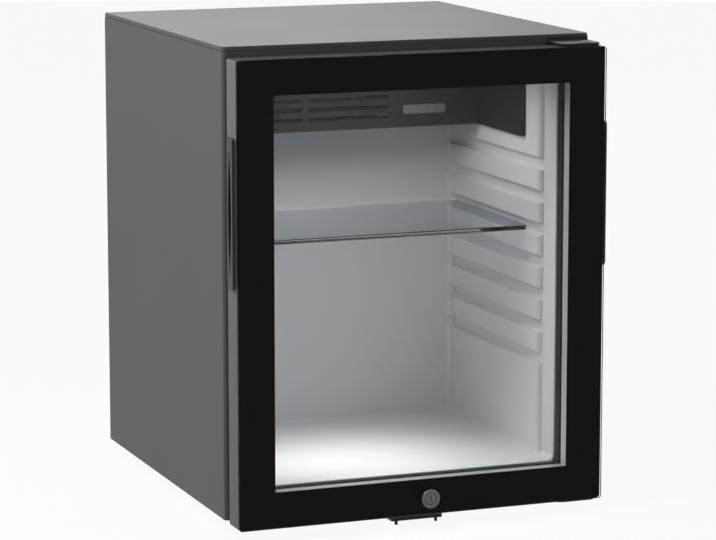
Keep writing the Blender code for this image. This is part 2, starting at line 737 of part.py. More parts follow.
def make_evaporator(body, finish):
    """Finned evaporator, its tube through the rear wall, its tray and its cover."""
    centre_y = INTERIOR_DEPTH - EVAPORATOR_SETBACK
    left = EVAPORATOR_LEFT
    right = EVAPORATOR_RIGHT
    end_y = BAY_FRONT + TUBE_RADIUS
    line = bent([(left, end_y, EVAPORATOR_HEIGHT), (left, centre_y, EVAPORATOR_HEIGHT),
                 (right, centre_y, EVAPORATOR_HEIGHT), (right, end_y, EVAPORATOR_HEIGHT)], EVAPORATOR_BEND)
    pipe("evaporator_tube", line, TUBE_RADIUS, finish["aluminium"], body)

    fins = bmesh.new()
    middle = (left + right) / 2
    fin_low = COVER_BOTTOM + COVER_WALL + GAP + TRAY_HEIGHT + GAP
    fin_front = centre_y - EVAPORATOR_FIN_DEPTH / 2
    fin_rear = centre_y + EVAPORATOR_FIN_DEPTH / 2
    count = int((right - left - 2 * EVAPORATOR_FIN_MARGIN) / EVAPORATOR_FIN_PITCH) + 1
    for x in spread(middle, EVAPORATOR_FIN_PITCH, count):
        block((x - EVAPORATOR_FIN / 2, fin_front, fin_low),
              (x + EVAPORATOR_FIN / 2, fin_rear, fin_low + EVAPORATOR_FIN_HEIGHT), fins)
    fins = solid("evaporator_fins", fins, finish["aluminium"], body)
    centre = (centre_y, EVAPORATOR_HEIGHT)
    reach = EVAPORATOR_FIN_PITCH * (count - 1) / 2
    add(fins, prism(circle(centre, TUBE_RADIUS + GAP + FIN_SLEEVE, 12), "X", middle - reach, middle + reach))
    cut(fins, prism(circle(centre, TUBE_RADIUS + 2 * GAP, 12), "X", left, right))

    for side, x in (("left", left), ("right", right)):
        outer = TUBE_RADIUS + GROMMET_WALL + GAP
        section = [(TUBE_RADIUS + GAP, INTERIOR_DEPTH), (outer, INTERIOR_DEPTH), (outer, BAY_FRONT),
                   (TUBE_RADIUS + GAP, BAY_FRONT)]
        grommet = turned(section, "Y", (x, EVAPORATOR_HEIGHT), 16, ring=True)
        solid(f"tube_grommet_{side}", grommet, finish["rubber"], body, smooth=True)

    tray_low = COVER_BOTTOM + COVER_WALL + GAP
    tray_half = EVAPORATOR_FIN_PITCH * count / 2
    tray = tray_shell((middle - tray_half, fin_front), (middle + tray_half, fin_rear), TRAY_CORNER, TRAY_WALL,
                      "Z", tray_low + TRAY_HEIGHT, tray_low)
    solid("drip_tray", tray, finish["white_plastic"], body)


def make_cover(body, finish):
    """Louvred cover of the evaporator, with a cheek forward along each side wall."""
    half = RUNNER_HALF - GAP
    inner = half - COVER_CHEEK
    rear = INTERIOR_DEPTH - COVER_REAR_PLAY
    tip = COVER_FRONT - COVER_CHEEK_REACH
    outline = [(-half, tip), (-inner, tip), (-inner, COVER_FRONT), (inner, COVER_FRONT),
               (inner, tip), (half, tip), (half, rear), (-half, rear)]
    edge = min(COVER_CHEEK_ROUND, COVER_CHEEK / 2 - GAP)
    outline = rounded(outline, [edge, edge, 0, 0, edge, edge, 0, 0], 2)
    top = ROOM_CEILING - LINER_CORNER - GAP
    cover = solid("evaporator_cover", prism(outline, "Z", COVER_BOTTOM, top), finish["dark_plastic"], body)
    openings = block((COVER_WALL - half, COVER_BACK, COVER_BOTTOM + COVER_WALL),
                     (half - COVER_WALL, rear + CUT, top + CUT))
    first = COVER_BOTTOM + LOUVRE_MARGIN
    start = LOUVRE_MARGIN - inner
    field = CONTROLS_X - LAMP_WIDTH / 2 - LOUVRE_CLEAR - start
    length = (field - LOUVRE_BRIDGE * (LOUVRE_COLUMNS - 1)) / LOUVRE_COLUMNS
    for row in range(LOUVRE_ROWS):
        z = first + LOUVRE_PITCH * row
        for column in range(LOUVRE_COLUMNS):
            x = start + (length + LOUVRE_BRIDGE) * column
            block((x, COVER_FRONT - CUT, z - LOUVRE_SLOT / 2),
                  (x + length, COVER_BACK - GAP / 3, z + LOUVRE_SLOT / 2), openings)
    cut(cover, openings)


def make_controls(body, finish):
    """Lamp and thermostat behind the cover's plain end, and the thermostat's knob."""
    cover = bpy.data.objects["evaporator_cover"]
    lamp_height = COVER_BOTTOM + LAMP_RISE
    low = (CONTROLS_X - LAMP_WIDTH / 2, lamp_height - LAMP_TALL / 2)
    high = (CONTROLS_X + LAMP_WIDTH / 2, lamp_height + LAMP_TALL / 2)
    window = rectangle((low[0] - GAP, low[1] - GAP), (high[0] + GAP, high[1] + GAP), LAMP_CORNER + GAP)
    cut(cover, prism(window, "Y", COVER_FRONT - CUT, COVER_BACK + CUT))
    lens_back = COVER_FRONT + LAMP_DEEP
    lens = prism(rectangle(low, high, LAMP_CORNER), "Y", COVER_FRONT - LAMP_RECESS, lens_back)
    solid("lamp_lens", lens, finish["lamp_lens"], body)
    board = block((low[0] - LAMP_BOARD_END, lens_back + GAP, low[1] - LAMP_BOARD_SIDE),
                  (high[0] + LAMP_BOARD_END, lens_back + GAP + LAMP_BOARD, high[1] + LAMP_BOARD_SIDE))
    solid("lamp_board", board, finish["circuit_board"], body)

    knob_centre = (CONTROLS_X, KNOB_HEIGHT)
    bore = circle(knob_centre, KNOB_STEM_RADIUS + GAP, 16)
    bore_end = COVER_BACK + THERMOSTAT_DEEP / 2
    cut(cover, prism(bore, "Y", COVER_FRONT - CUT, COVER_BACK + CUT))
    box = block((CONTROLS_X - THERMOSTAT_WIDTH / 2, COVER_BACK + GAP, KNOB_HEIGHT - THERMOSTAT_TALL / 2),
                (CONTROLS_X + THERMOSTAT_WIDTH / 2, COVER_BACK + GAP + THERMOSTAT_DEEP,
                 KNOB_HEIGHT + THERMOSTAT_TALL / 2))
    box = solid("thermostat_body", box, finish["white_plastic"], body)
    cut(box, prism(bore, "Y", COVER_BACK - CUT, bore_end))

    axis = empty("knob_axis", (CONTROLS_X, KNOB_FACE, KNOB_HEIGHT), body)
    front = KNOB_FACE - KNOB_DEEP
    top = KNOB_RADIUS - KNOB_TAPER
    profile = [(top - KNOB_EDGE, front), (top, front + KNOB_EDGE), (KNOB_RADIUS, KNOB_FACE - GAP),
               (KNOB_STEM_RADIUS, KNOB_FACE - GAP), (KNOB_STEM_RADIUS, bore_end - GAP)]
    knob = turned(profile, "Y", knob_centre, 24)
    knob = solid("thermostat_knob", knob, finish["dark_plastic"], axis, smooth=True)
    mark_end = KNOB_HEIGHT + KNOB_RADIUS + CUT
    cut(knob, block((CONTROLS_X - KNOB_MARK_WIDE / 2, front - CUT, mark_end - CUT - KNOB_MARK_LONG),
                    (CONTROLS_X + KNOB_MARK_WIDE / 2, front + KNOB_MARK_DEEP, mark_end)))


def make_shelf(body, finish):
    """Sliding glass shelf in one pair of runners."""
    half = ROOM_HALF - SHELF_SIDE_PLAY
    level = ROOM_CEILING - RUNNER_DROP - RUNNER_PITCH * SHELF_RUNNER - RUNNER_GAP + GAP
    axis = empty("shelf_runner", (0.0, SHELF_FRONT, level), body)
    outline = rectangle((-half, SHELF_FRONT), (half, INTERIOR_DEPTH - SHELF_REAR_PLAY), LINER_CORNER)
    shelf = solid("shelf_glass", prism(outline, "Z", level, level + SHELF_GLASS), finish["glass"], axis)
    soften(shelf, GLASS_ARRIS, 1, 60)


def make_cooling_unit(body, finish):
    """Absorption unit: boiler, condenser, absorber coil and vessel, and what holds them."""
    pipe_paint = finish["black_paint"]
    boiler = (BOILER_X, UNIT_Y)
    column = turned([(BOILER_RADIUS, BOILER_BOTTOM), (BOILER_RADIUS, BOILER_TOP)], "Z", boiler, 16)
    solid("boiler_tube", column, pipe_paint, body, smooth=True)
    section = [(BOILER_RADIUS + GAP, JACKET_BOTTOM), (JACKET_RADIUS, JACKET_BOTTOM),
               (JACKET_RADIUS, JACKET_TOP), (BOILER_RADIUS + GAP, JACKET_TOP)]
    jacket = turned(section, "Z", boiler, 24, ring=True)
    solid("boiler_jacket", jacket, finish["galvanised"], body, smooth=True)

    clamps = bmesh.new()
    inner = JACKET_RADIUS + GAP
    for height in (CLAMP_LOW, CLAMP_HIGH):
        band = [(inner + CLAMP_SHEET, height), (inner + CLAMP_SHEET, height + CLAMP_TALL),
                (inner, height + CLAMP_TALL), (inner, height)]
        turned(band, "Z", boiler, 24, clamps, ring=True)
    clamps = solid("boiler_clamp", clamps, finish["galvanised"], body, smooth=True)
    strap = block((BOILER_X - CLAMP_TALL / 2, BAY_FRONT + GAP, CLAMP_LOW - CLAMP_TALL),
                  (BOILER_X + CLAMP_TALL / 2, BAY_FRONT + GAP + CLAMP_SHEET, CLAMP_HIGH + 2 * CLAMP_TALL))
    for height in (CLAMP_LOW, CLAMP_HIGH):
        arm_end = UNIT_Y - inner - CLAMP_SHEET / 4
        arm = block((BOILER_X - CLAMP_ARM, BAY_FRONT + GAP + CLAMP_SHEET / 2, height + CLAMP_SHEET),
                    (BOILER_X + CLAMP_ARM, arm_end, height + CLAMP_TALL - CLAMP_SHEET))
        add(clamps, arm)
    add(clamps, strap)

    low = EVAPORATOR_HEIGHT
    high = CONDENSER_HEIGHT
    line = bent([(BOILER_X, UNIT_Y, BOILER_TOP + GAP), (BOILER_X, UNIT_Y, high),
                 (CONDENSER_LEFT, UNIT_Y, high - CONDENSER_FALL), (CONDENSER_LEFT, UNIT_Y, low),
                 (EVAPORATOR_RIGHT, UNIT_Y, low), (EVAPORATOR_RIGHT, PORT_Y, low)], PIPE_BEND)
    pipe("condenser_tube", line, TUBE_RADIUS, pipe_paint, body)
    fins = bmesh.new()
    middle = (BOILER_X + CONDENSER_LEFT) / 2
    half = CONDENSER_FIN_SIZE / 2
    count = int((BOILER_X - CONDENSER_LEFT - 2 * CONDENSER_FIN_MARGIN) / CONDENSER_FIN_PITCH) + 1
    fin_low = high - CONDENSER_FALL - half + TUBE_RADIUS
    for x in spread(middle, CONDENSER_FIN_PITCH, count):
        block((x - CONDENSER_FIN / 2, UNIT_Y - half, fin_low),
              (x + CONDENSER_FIN / 2, UNIT_Y + half, fin_low + CONDENSER_FIN_SIZE - TUBE_RADIUS), fins)
    fins = solid("condenser_fins", fins, finish["aluminium"], body)
    reach = CONDENSER_FIN_PITCH * (count - 1) / 2
    slope = CONDENSER_FALL / (BOILER_X - CONDENSER_LEFT)
    for radius, first, last, change in ((TUBE_RADIUS + GAP + FIN_SLEEVE, middle + reach, middle - reach, add),
                                        (TUBE_RADIUS + 2 * GAP, BOILER_X, CONDENSER_LEFT, cut)):
        sleeve = bmesh.new()
        skin(sleeve, [lift(circle((UNIT_Y, high - slope * (BOILER_X - x)), radius, 12), "X", x)
                      for x in (first, last)])
        change(fins, sleeve)

    left = EVAPORATOR_LEFT
    right = BOILER_X - COIL_CLEAR
    points = [(left, PORT_Y, low), (left, COIL_Y, low)]
    for number in range(COIL_PASSES):
        z = EVAPORATOR_HEIGHT - COIL_DROP - COIL_PITCH * number
        ends = (left, right) if number % 2 == 0 else (right, left)
        points += [(x, COIL_Y, z) for x in ends]
    points.append((left, COIL_Y, VESSEL_HEIGHT + VESSEL_RADIUS + GAP))
    pipe("absorber_coil", bent(points, PIPE_BEND), TUBE_RADIUS, pipe_paint, body)

    crown = [(VESSEL_RADIUS * math.sin(turn), VESSEL_DOME * (1 - math.cos(turn)))
             for turn in (math.radians(30), math.radians(60), math.radians(90))]
    profile = [(radius, VESSEL_LEFT + step) for radius, step in crown]
    profile += [(radius, VESSEL_RIGHT - step) for radius, step in crown[::-1]]
    vessel = turned(profile, "X", (COIL_Y, VESSEL_HEIGHT), 24)
    solid("absorber_vessel", vessel, pipe_paint, body, smooth=True)

    foot = RETURN_PIPE_HEIGHT
    turn = VESSEL_RIGHT + RETURN_PIPE_STEP
    line = bent([(VESSEL_RIGHT + GAP, COIL_Y, VESSEL_HEIGHT), (turn, COIL_Y, VESSEL_HEIGHT),
                 (turn, COIL_Y, foot), (BOILER_X, UNIT_Y, foot),
                 (BOILER_X, UNIT_Y, BOILER_BOTTOM - GAP)], RETURN_PIPE_BEND)
    pipe("return_pipe", line, RETURN_PIPE_RADIUS, pipe_paint, body)

    cradles = bmesh.new()
    ends = (VESSEL_LEFT + CRADLE_INSET, VESSEL_RIGHT - CRADLE_INSET)
    near = COIL_Y - CRADLE_WIDTH / 2
    far = COIL_Y + CRADLE_WIDTH / 2
    saddle = arc((COIL_Y, VESSEL_HEIGHT), VESSEL_RADIUS + 2 * GAP, 340, 200, 14)
    foot = [(near, SHEET + GAP), (far, SHEET + GAP), (far, saddle[0][1])]
    outline = foot + saddle + [(near, saddle[-1][1])]
    for x in ends:
        prism(outline, "X", x - CRADLE_SHEET / 2, x + CRADLE_SHEET / 2, cradles)
    cradle = solid("vessel_cradle", cradles, finish["galvanised"], body)
    add(cradle, block((ends[0], near, SHEET + GAP), (ends[1], far, SHEET + GAP + CRADLE_SHEET)))


def make_terminal_box(body, finish):
    """Box for the mains connections on the rear bulkhead, its inlet and the heater's cable."""
    back = BAY_FRONT + GAP
    low = (BOX_LEFT, BOX_BOTTOM)
    high = (BOX_LEFT + BOX_WIDTH, BOX_BOTTOM + BOX_TALL)
    box = tray_shell(low, high, BOX_WALL, BOX_WALL, "Y", back, back + BOX_DEEP)
    box = solid("terminal_box", box, finish["dark_plastic"], body)
    middle = (BOX_LEFT + INLET_INSET, BOX_BOTTOM + BOX_TALL / 2)
    half = (INLET_WIDTH / 2, INLET_TALL / 2)
    face = back + BOX_DEEP
    hole = rectangle((middle[0] - half[0] - GAP, middle[1] - half[1] - GAP),
                     (middle[0] + half[0] + GAP, middle[1] + half[1] + GAP))
    cut(box, prism(hole, "Y", face - BOX_WALL - CUT, face + CUT))
    sizes = [(0.0, face - INLET_DEEP), (0.0, face + GAP), (INLET_RIM, face + GAP),
             (INLET_RIM, face + BOX_WALL), (-BOX_WALL, face + BOX_WALL),
             (-BOX_WALL, face - INLET_DEEP + BOX_WALL)]
    inlet = bmesh.new()
    rings = []
    for grow, place in sizes:
        ring = rectangle((middle[0] - half[0] - grow, middle[1] - half[1] - grow),
                         (middle[0] + half[0] + grow, middle[1] + half[1] + grow), INLET_CORNER)
        rings.append(lift(ring, "Y", place))
    skin(inlet, rings)
    inlet = solid("mains_inlet", inlet, finish["dark_plastic"], body)
    pins = bmesh.new()
    spots = ((-INLET_PIN_SPREAD, -INLET_PIN_DROP), (INLET_PIN_SPREAD, -INLET_PIN_DROP),
             (0.0, INLET_EARTH_RISE))
    for x, z in spots:
        prism(circle((middle[0] + x, middle[1] + z), INLET_PIN_RADIUS, 8), "Y",
              face - INLET_DEEP + BOX_WALL / 2, face - BOX_WALL, pins)
    add(inlet, pins)

    cable_y = back + BOX_DEEP / 2
    entry = BOILER_X - (BOILER_RADIUS + JACKET_RADIUS) / 2
    line = bent([(high[0] + GAP, cable_y, middle[1]), (entry, cable_y, middle[1]),
                 (entry, UNIT_Y, JACKET_TOP + CABLE_RISE), (entry, UNIT_Y, JACKET_TOP + GAP)], CABLE_BEND)
    pipe("heater_cable", line, CABLE_RADIUS, finish["rubber"], body, fineness=2)


def make_door(body, finish):
    """Door: full-size front glass over a printed border, a frame, sealed glazing and a gasket."""
    low = (-HALF_WIDTH, DOOR_LOW)
    high = (HALF_WIDTH, DOOR_HIGH)
    pane = rectangle(low, high, DOOR_CORNER)
    glass = solid("front_glass", prism(pane, "Y", DOOR_FACE, GLASS_BACK), finish["glass"], body)
    soften(glass, GLASS_ARRIS, 1, 60)
    outer = rectangle((low[0] + GAP, low[1] + GAP), (high[0] - GAP, high[1] - GAP), DOOR_CORNER)
    window = rectangle((-WINDOW_HALF, WINDOW_LOW), (WINDOW_HALF, WINDOW_HIGH), DOOR_CORNER / 2)
    printed = open_plate(outer, window, GLASS_BACK + GAP, PRINT_BACK)
    printed = solid("glass_border_print", printed, finish["black_print"], body)

    outside = rectangle(low, high, DOOR_CORNER)
    rebate = rectangle((GLAZING_LOW[0] - GAP, GLAZING_LOW[1] - GAP),
                       (GLAZING_HIGH[0] + GAP, GLAZING_HIGH[1] + GAP), SHEET)
    frame = open_plate(outside, rebate, FRAME_FRONT, DOOR_REAR)
    frame = solid("door_frame", frame, finish["frame_plastic"], body)

    spacer_rear = PRINT_BACK + GAP + SPACER_DEEP
    spacer = flat_border(PRINT_BACK + GAP, spacer_rear, SPACER_WIDE - GAP, GLAZING_LOW, GLAZING_HIGH, SHEET)
    solid("glass_spacer", spacer, finish["aluminium"], body)
    inner_rear = spacer_rear + GAP + INNER_GLASS
    pane = rectangle(GLAZING_LOW, GLAZING_HIGH, SHEET)
    solid("inner_glass", prism(pane, "Y", spacer_rear + GAP, inner_rear), finish["glass"], body)
    bead = flat_border(inner_rear + GAP, DOOR_REAR, SPACER_WIDE, GLAZING_LOW, GLAZING_HIGH, SHEET)
    solid("glazing_bead", bead, finish["dark_plastic"], body)

    seat = HALF_WIDTH - ROOM_HALF - FRAME_REVEAL - GASKET_WIDE
    outer_inset = seat - GASKET_COVER
    rear = -GAP
    front = DOOR_REAR + GAP
    wide = GASKET_WIDE
    waist = GASKET_WAIST
    foot = GASKET_FOOT
    profile = [(outer_inset, rear), (outer_inset, rear - foot), (outer_inset + waist, rear - foot),
               (outer_inset + waist, front + foot), (outer_inset, front + foot), (outer_inset, front),
               (outer_inset + wide, front), (outer_inset + wide, front + foot),
               (outer_inset + wide - waist, front + foot), (outer_inset + wide - waist, rear - foot),
               (outer_inset + wide, rear - foot), (outer_inset + wide, rear)]
    gasket = border(profile, low, high, outer_inset + GASKET_CORNER)
    solid("door_gasket", gasket, finish["rubber"], body)

    for side, sign in (("left", -1), ("right", 1)):
        make_grip(side, sign, frame, body, finish)
    return glass, printed, frame


def lens_outline(middle, long, wide, steps=8):
    """A slim lens standing upright: two bows that meet above and below."""
    right = [(middle[0], middle[1] - long / 2)]
    for i in range(1, steps):
        bow = wide / 2 * math.cos(math.pi * (i / steps - 0.5)) ** LENS_FULLNESS
        right.append((middle[0] + bow, middle[1] + long * (i / steps - 0.5)))
    right.append((middle[0], middle[1] + long / 2))
    left = [(2 * middle[0] - y, z) for y, z in right[-2:0:-1]]
    return right + left


def make_grip(side, sign, frame, body, finish):
    """Finger grip let into one edge of the door: a plate round a lens-shaped cup, proudest at its front."""
    middle = GRIP_MIDDLE
    half = (GRIP_WIDE / 2, GRIP_LONG / 2)
    margin = GRIP_POCKET_MARGIN
    plate = rectangle((middle[0] - half[0], middle[1] - half[1]),
                      (middle[0] + half[0], middle[1] + half[1]), margin)
    cup_low = (middle[0] - half[0] + margin, middle[1] - half[1] + margin)
    cup_high = (middle[0] + half[0] - margin, middle[1] + half[1] - margin)
    cup = rectangle(cup_low, cup_high, margin)
    pocket = rectangle((cup_low[0] - GAP, cup_low[1] - GAP),
                       (cup_high[0] + GAP, cup_high[1] + GAP), margin + GAP)
    inside = HALF_WIDTH - GRIP_DEEP - GRIP_WALL
    cut(frame, prism(pocket, "X", sign * (inside - GAP), sign * (HALF_WIDTH + CUT)))
    slope = (GRIP_PROUD - GRIP_REAR_PROUD) / GRIP_WIDE
    face = [(sign * (HALF_WIDTH + GRIP_PROUD - slope * (y - middle[0] + half[0])), y, z) for y, z in plate]
    grip = bmesh.new()
    skin(grip, [lift(plate, "X", sign * (HALF_WIDTH + GAP)), face])
    grip = solid(f"grip_{side}", grip, finish["dark_plastic"], body)
    add(grip, prism(cup, "X", sign * inside, sign * (HALF_WIDTH + (GAP + GRIP_REAR_PROUD) / 2)))
    bowl = bmesh.new()
    mouth = lens_outline(middle, GRIP_LENS_LONG, GRIP_LENS_WIDE)
    floor = lens_outline(middle, GRIP_FLOOR_LONG, GRIP_FLOOR_WIDE)
    skin(bowl, [lift(floor, "X", sign * (HALF_WIDTH - GRIP_DEEP)),
                lift(mouth, "X", sign * (HALF_WIDTH - GRIP_WALL)),
                lift(mouth, "X", sign * (HALF_WIDTH + GRIP_PROUD + CUT))])
    cut(grip, bowl)


def make_hinges(case, door, frame, finish):
    """Top and bottom hinge: a bracket on the case, a pin through it and a bush in the door."""
    centre = (HINGE_X, HINGE_Y)
    left = HALF_WIDTH - HINGE_LEAF_RIGHT - HINGE_LEAF_WIDE
    right = HALF_WIDTH - HINGE_LEAF_RIGHT
    for name, edge, up, rise in (("top", DOOR_HIGH, 1, HINGE_TOP_RISE), ("bottom", DOOR_LOW, -1, 0.0)):
        near = edge + up * HINGE_LEAF_GAP
        far = near + up * HINGE_LEAF
        leaf = rounded([(left, -HINGE_LEAF_FRONT), (right, -HINGE_LEAF_FRONT), (right, -GAP), (left, -GAP)],
                       [HINGE_LEAF_CORNER, HINGE_LEAF_CORNER, 0, 0])
        bracket = solid(f"{name}_hinge_bracket", prism(leaf, "Z", near, far), finish["black_paint"], case)
        flange_low = min(far + up * rise, edge - up * HINGE_FLANGE)
        flange_high = max(far + up * rise, edge - up * HINGE_FLANGE)
        add(bracket, block((left, -GAP - HINGE_LEAF, flange_low), (right, -GAP, flange_high)))
        bore = PIN_RADIUS + GAP
        cut(bracket, prism(circle(centre, bore, 16), "Z", near - up * CUT, far + up * CUT))
        pin = [(PIN_RADIUS, far - up * PIN_LENGTH), (PIN_RADIUS, far + up * GAP),
               (PIN_HEAD_RADIUS, far + up * GAP), (PIN_HEAD_RADIUS, far + up * PIN_HEAD)]
        solid(f"{name}_hinge_pin", turned(pin, "Z", centre, 16), finish["chrome"], case, smooth=True)
        deep = edge - up * BUSH_LENGTH
        outside = bore + BUSH_WALL
        cut(frame, prism(circle(centre, outside + GAP, 16), "Z", deep - up * SHEET, edge + up * CUT))
        bush = [(bore, deep), (outside, deep), (outside, edge), (bore, edge)]
        bush = turned(bush, "Z", centre, 16, ring=True)
        solid(f"{name}_hinge_bush", bush, finish["white_plastic"], door, smooth=True)
        cut(frame, prism(circle(centre, bore, 16), "Z", far - up * (PIN_LENGTH + SHEET), edge))
        height = edge - up * HINGE_FLANGE / 2
        for side, x in (("left", left + HINGE_SCREW_INSET), ("right", right - HINGE_SCREW_INSET)):
            screw_head(f"{name}_hinge_screw_{side}", "Y", (x, height), -2 * GAP - HINGE_LEAF, finish, case)


def screw_head(name, axis, centre, seat, finish, holder):
    """The low round head of a screw, on the side of its seat that faces down the axis."""
    top = SCREW_HEAD_RADIUS - SCREW_HEAD_ROUND
    profile = [(top, seat - SCREW_HEAD), (SCREW_HEAD_RADIUS, seat - SCREW_HEAD + SCREW_HEAD_ROUND),
               (SCREW_HEAD_RADIUS, seat)]
    solid(name, turned(profile, axis, centre, 12), finish["chrome"], holder, smooth=True)


def make_lock(case, door, glass, printed, frame, finish):
    """Cylinder lock in the door's lower border, its cam, and the catch under the case."""
    centre = (LOCK_X, LOCK_HEIGHT)
    barrel_end = GLASS_BACK + LOCK_BARREL_LENGTH
    hole = circle(centre, LOCK_BARREL_RADIUS + GAP, 24)
    cut(glass, prism(hole, "Y", DOOR_FACE - CUT, GLASS_BACK + CUT))
    cut(printed, prism(hole, "Y", GLASS_BACK - CUT, PRINT_BACK + CUT))
    cut(frame, prism(hole, "Y", FRAME_FRONT - CUT, barrel_end + GAP))
    bezel = DOOR_FACE - LOCK_BEZEL
    bore = LOCK_PLUG_RADIUS + GAP
    section = [(bore, bezel), (LOCK_BEZEL_RADIUS - LOCK_BEZEL_ROUND, bezel),
               (LOCK_BEZEL_RADIUS, bezel + LOCK_BEZEL / 3), (LOCK_BEZEL_RADIUS, DOOR_FACE - GAP),
               (LOCK_BARREL_RADIUS, DOOR_FACE - GAP), (LOCK_BARREL_RADIUS, barrel_end), (bore, barrel_end)]
    housing = turned(section, "Y", centre, 24, ring=True)
    solid("lock_housing", housing, finish["chrome"], door, smooth=True)

    axis = empty("lock_axis", (LOCK_X, DOOR_FACE, LOCK_HEIGHT), door)
    plug = turned([(LOCK_PLUG_RADIUS, LOCK_PLUG_FRONT), (LOCK_PLUG_RADIUS, barrel_end)], "Y", centre, 24)
    plug = solid("lock_cylinder", plug, finish["chrome"], axis, smooth=True)
    keyway = block((LOCK_X - KEYWAY_WIDE / 2, LOCK_PLUG_FRONT - CUT, LOCK_HEIGHT - KEYWAY_TALL / 2),
                   (LOCK_X + KEYWAY_WIDE / 2, LOCK_PLUG_FRONT + KEYWAY_DEEP, LOCK_HEIGHT + KEYWAY_TALL / 2))
    cut(plug, keyway)
    half = CAM_WIDE / 2
    cam = rectangle((LOCK_X - CAM_LENGTH, LOCK_HEIGHT - half), (LOCK_X + half, LOCK_HEIGHT + half),
                    half - GAP, 5)
    cam = prism(cam, "Y", CAM_FRONT, CAM_FRONT + CAM_SHEET)
    solid("lock_cam", cam, finish["galvanised"], axis, smooth=True)
    reach = CAM_LENGTH + CAM_POCKET_PLAY
    beyond = half + CAM_POCKET_PLAY
    pocket = block((LOCK_X - reach, CAM_FRONT - GAP, DOOR_LOW - CUT),
                   (LOCK_X + beyond, CAM_FRONT + CAM_SHEET + 2 * GAP, LOCK_HEIGHT + beyond))
    cut(frame, pocket)

    low = -CATCH_DROP
    profile = [(CATCH_FOOT, -GAP), (CATCH_FOOT, -GAP - CATCH_SHEET), (CATCH_SHEET, -GAP - CATCH_SHEET),
               (CATCH_SHEET, low), (CATCH_FACE, low), (CATCH_FACE, low + CATCH_LIP),
               (CATCH_FACE + CATCH_SHEET, low + CATCH_LIP), (CATCH_FACE + CATCH_SHEET, low + CATCH_SHEET),
               (0.0, low + CATCH_SHEET), (0.0, -GAP)]
    catch = solid("lock_catch", prism(profile, "X", CATCH_LEFT, CATCH_RIGHT), finish["black_paint"], case)
    studs = bmesh.new()
    for side, x in (("left", CATCH_LEFT + CATCH_STUD_INSET), ("right", CATCH_RIGHT - CATCH_STUD_INSET)):
        stud = [(CATCH_STUD_RADIUS, low - CATCH_STUD_LENGTH), (CATCH_STUD_RADIUS, low + CATCH_SHEET / 2)]
        turned(stud, "Z", (x, CATCH_FACE + CATCH_STUD_BACK), 8, studs)
        screw_head(f"catch_screw_{side}", "Z", (x, CATCH_SCREW_BACK), -2 * GAP - CATCH_SHEET, finish, case)
    add(catch, studs)


def main():
    for thing in list(bpy.data.objects):
        bpy.data.objects.remove(thing)
    finish = make_finishes()
    depth_middle = (CASE_DEPTH - DOOR_STANDOFF - LOCK_BEZEL) / 2
    case = empty("case_datum", (0.0, -depth_middle, FOOT_HEIGHT))
    door = empty("door_axis", (HINGE_X, HINGE_Y, 0.0), case)
    make_case(case, finish)
    make_feet(case, finish)
    make_compartment(case, finish)
    make_evaporator(case, finish)
    make_cover(case, finish)
    make_controls(case, finish)
    make_shelf(case, finish)
    make_cooling_unit(case, finish)
    make_terminal_box(case, finish)
    glass, printed, frame = make_door(door, finish)
    make_hinges(case, door, frame, finish)
    make_lock(case, door, glass, printed, frame, finish)


main()
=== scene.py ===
"""Looks of a small glass-door minibar fridge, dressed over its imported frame.

Lengths are metres, +Z is up and the door faces -Y. Places come from the frame's boxes.
"""

from math import copysign, cos, pi, radians, sin, sqrt, tan

import bmesh
import bpy
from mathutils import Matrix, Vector


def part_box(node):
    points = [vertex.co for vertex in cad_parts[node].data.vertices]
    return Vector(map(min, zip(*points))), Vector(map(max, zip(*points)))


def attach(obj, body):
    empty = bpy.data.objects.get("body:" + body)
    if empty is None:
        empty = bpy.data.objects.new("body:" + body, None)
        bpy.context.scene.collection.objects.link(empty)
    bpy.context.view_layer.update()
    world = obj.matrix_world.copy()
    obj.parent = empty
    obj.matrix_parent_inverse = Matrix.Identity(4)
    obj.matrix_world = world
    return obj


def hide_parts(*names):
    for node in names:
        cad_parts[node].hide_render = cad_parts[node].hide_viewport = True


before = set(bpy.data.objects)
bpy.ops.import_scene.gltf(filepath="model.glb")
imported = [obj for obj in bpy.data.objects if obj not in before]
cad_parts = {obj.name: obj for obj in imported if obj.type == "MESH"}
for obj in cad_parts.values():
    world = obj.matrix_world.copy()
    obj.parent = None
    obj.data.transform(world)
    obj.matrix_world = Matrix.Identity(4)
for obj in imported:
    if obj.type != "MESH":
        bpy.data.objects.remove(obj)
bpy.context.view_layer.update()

# The photographed view
CAMERA_PLACE = (-1.207, -3.149, 0.8185)
CAMERA_TILT = 80.160
CAMERA_TURN = -21.19
CAMERA_LENS = 159.7
SENSOR = 36.0

# Lamps: name, place, aim, two sides, power and spread
LAMPS = (
    ("key", (-0.95, -0.42, 1.40), (0.0, 0.0, 0.30), (0.6, 0.6), 15.0, 180.0),
    ("top", (0.0, 0.1, 2.8), (0.0, 0.0, 0.3), (1.8, 1.8), 5.0, 180.0),
    ("rear", (0.6, 3.0, 1.8), (0.0, 0.0, 0.3), (1.8, 1.8), 14.0, 180.0),
    ("cabin", (-0.03, -0.100, 0.452), (-0.03, -0.060, 0.0), (0.24, 0.10), 0.35, 180.0),
    ("cabin_low", (-0.045, -0.100, 0.245), (-0.045, -0.101, 0.0), (0.21, 0.14), 0.170, 86.0),
)
FLOOR_WHITE = 0.93
WORLD_LIGHT = 0.14

# How finely round shapes are cut, and the play between neighbours
FINE = 8
SIDES = 64
GAP = 0.0003
SHARPEST = 0.0002

# Folded steel case
HALF_WIDTH = 0.200
CASE_DEPTH = 0.404
CASE_HEIGHT = 0.4825
SHEET = 0.0010
CASE_CORNER = 0.004
FOLD_CORNER = 0.002
SIDE_RETURN = 0.010
REAR_RETURN = 0.012
CAP_BOTTOM = 0.4783
CAP_SEAM = 0.0006
CAP_EDGE = 0.0009
CAP_REBATE = 0.0004
CAP_TONGUE = 0.0020

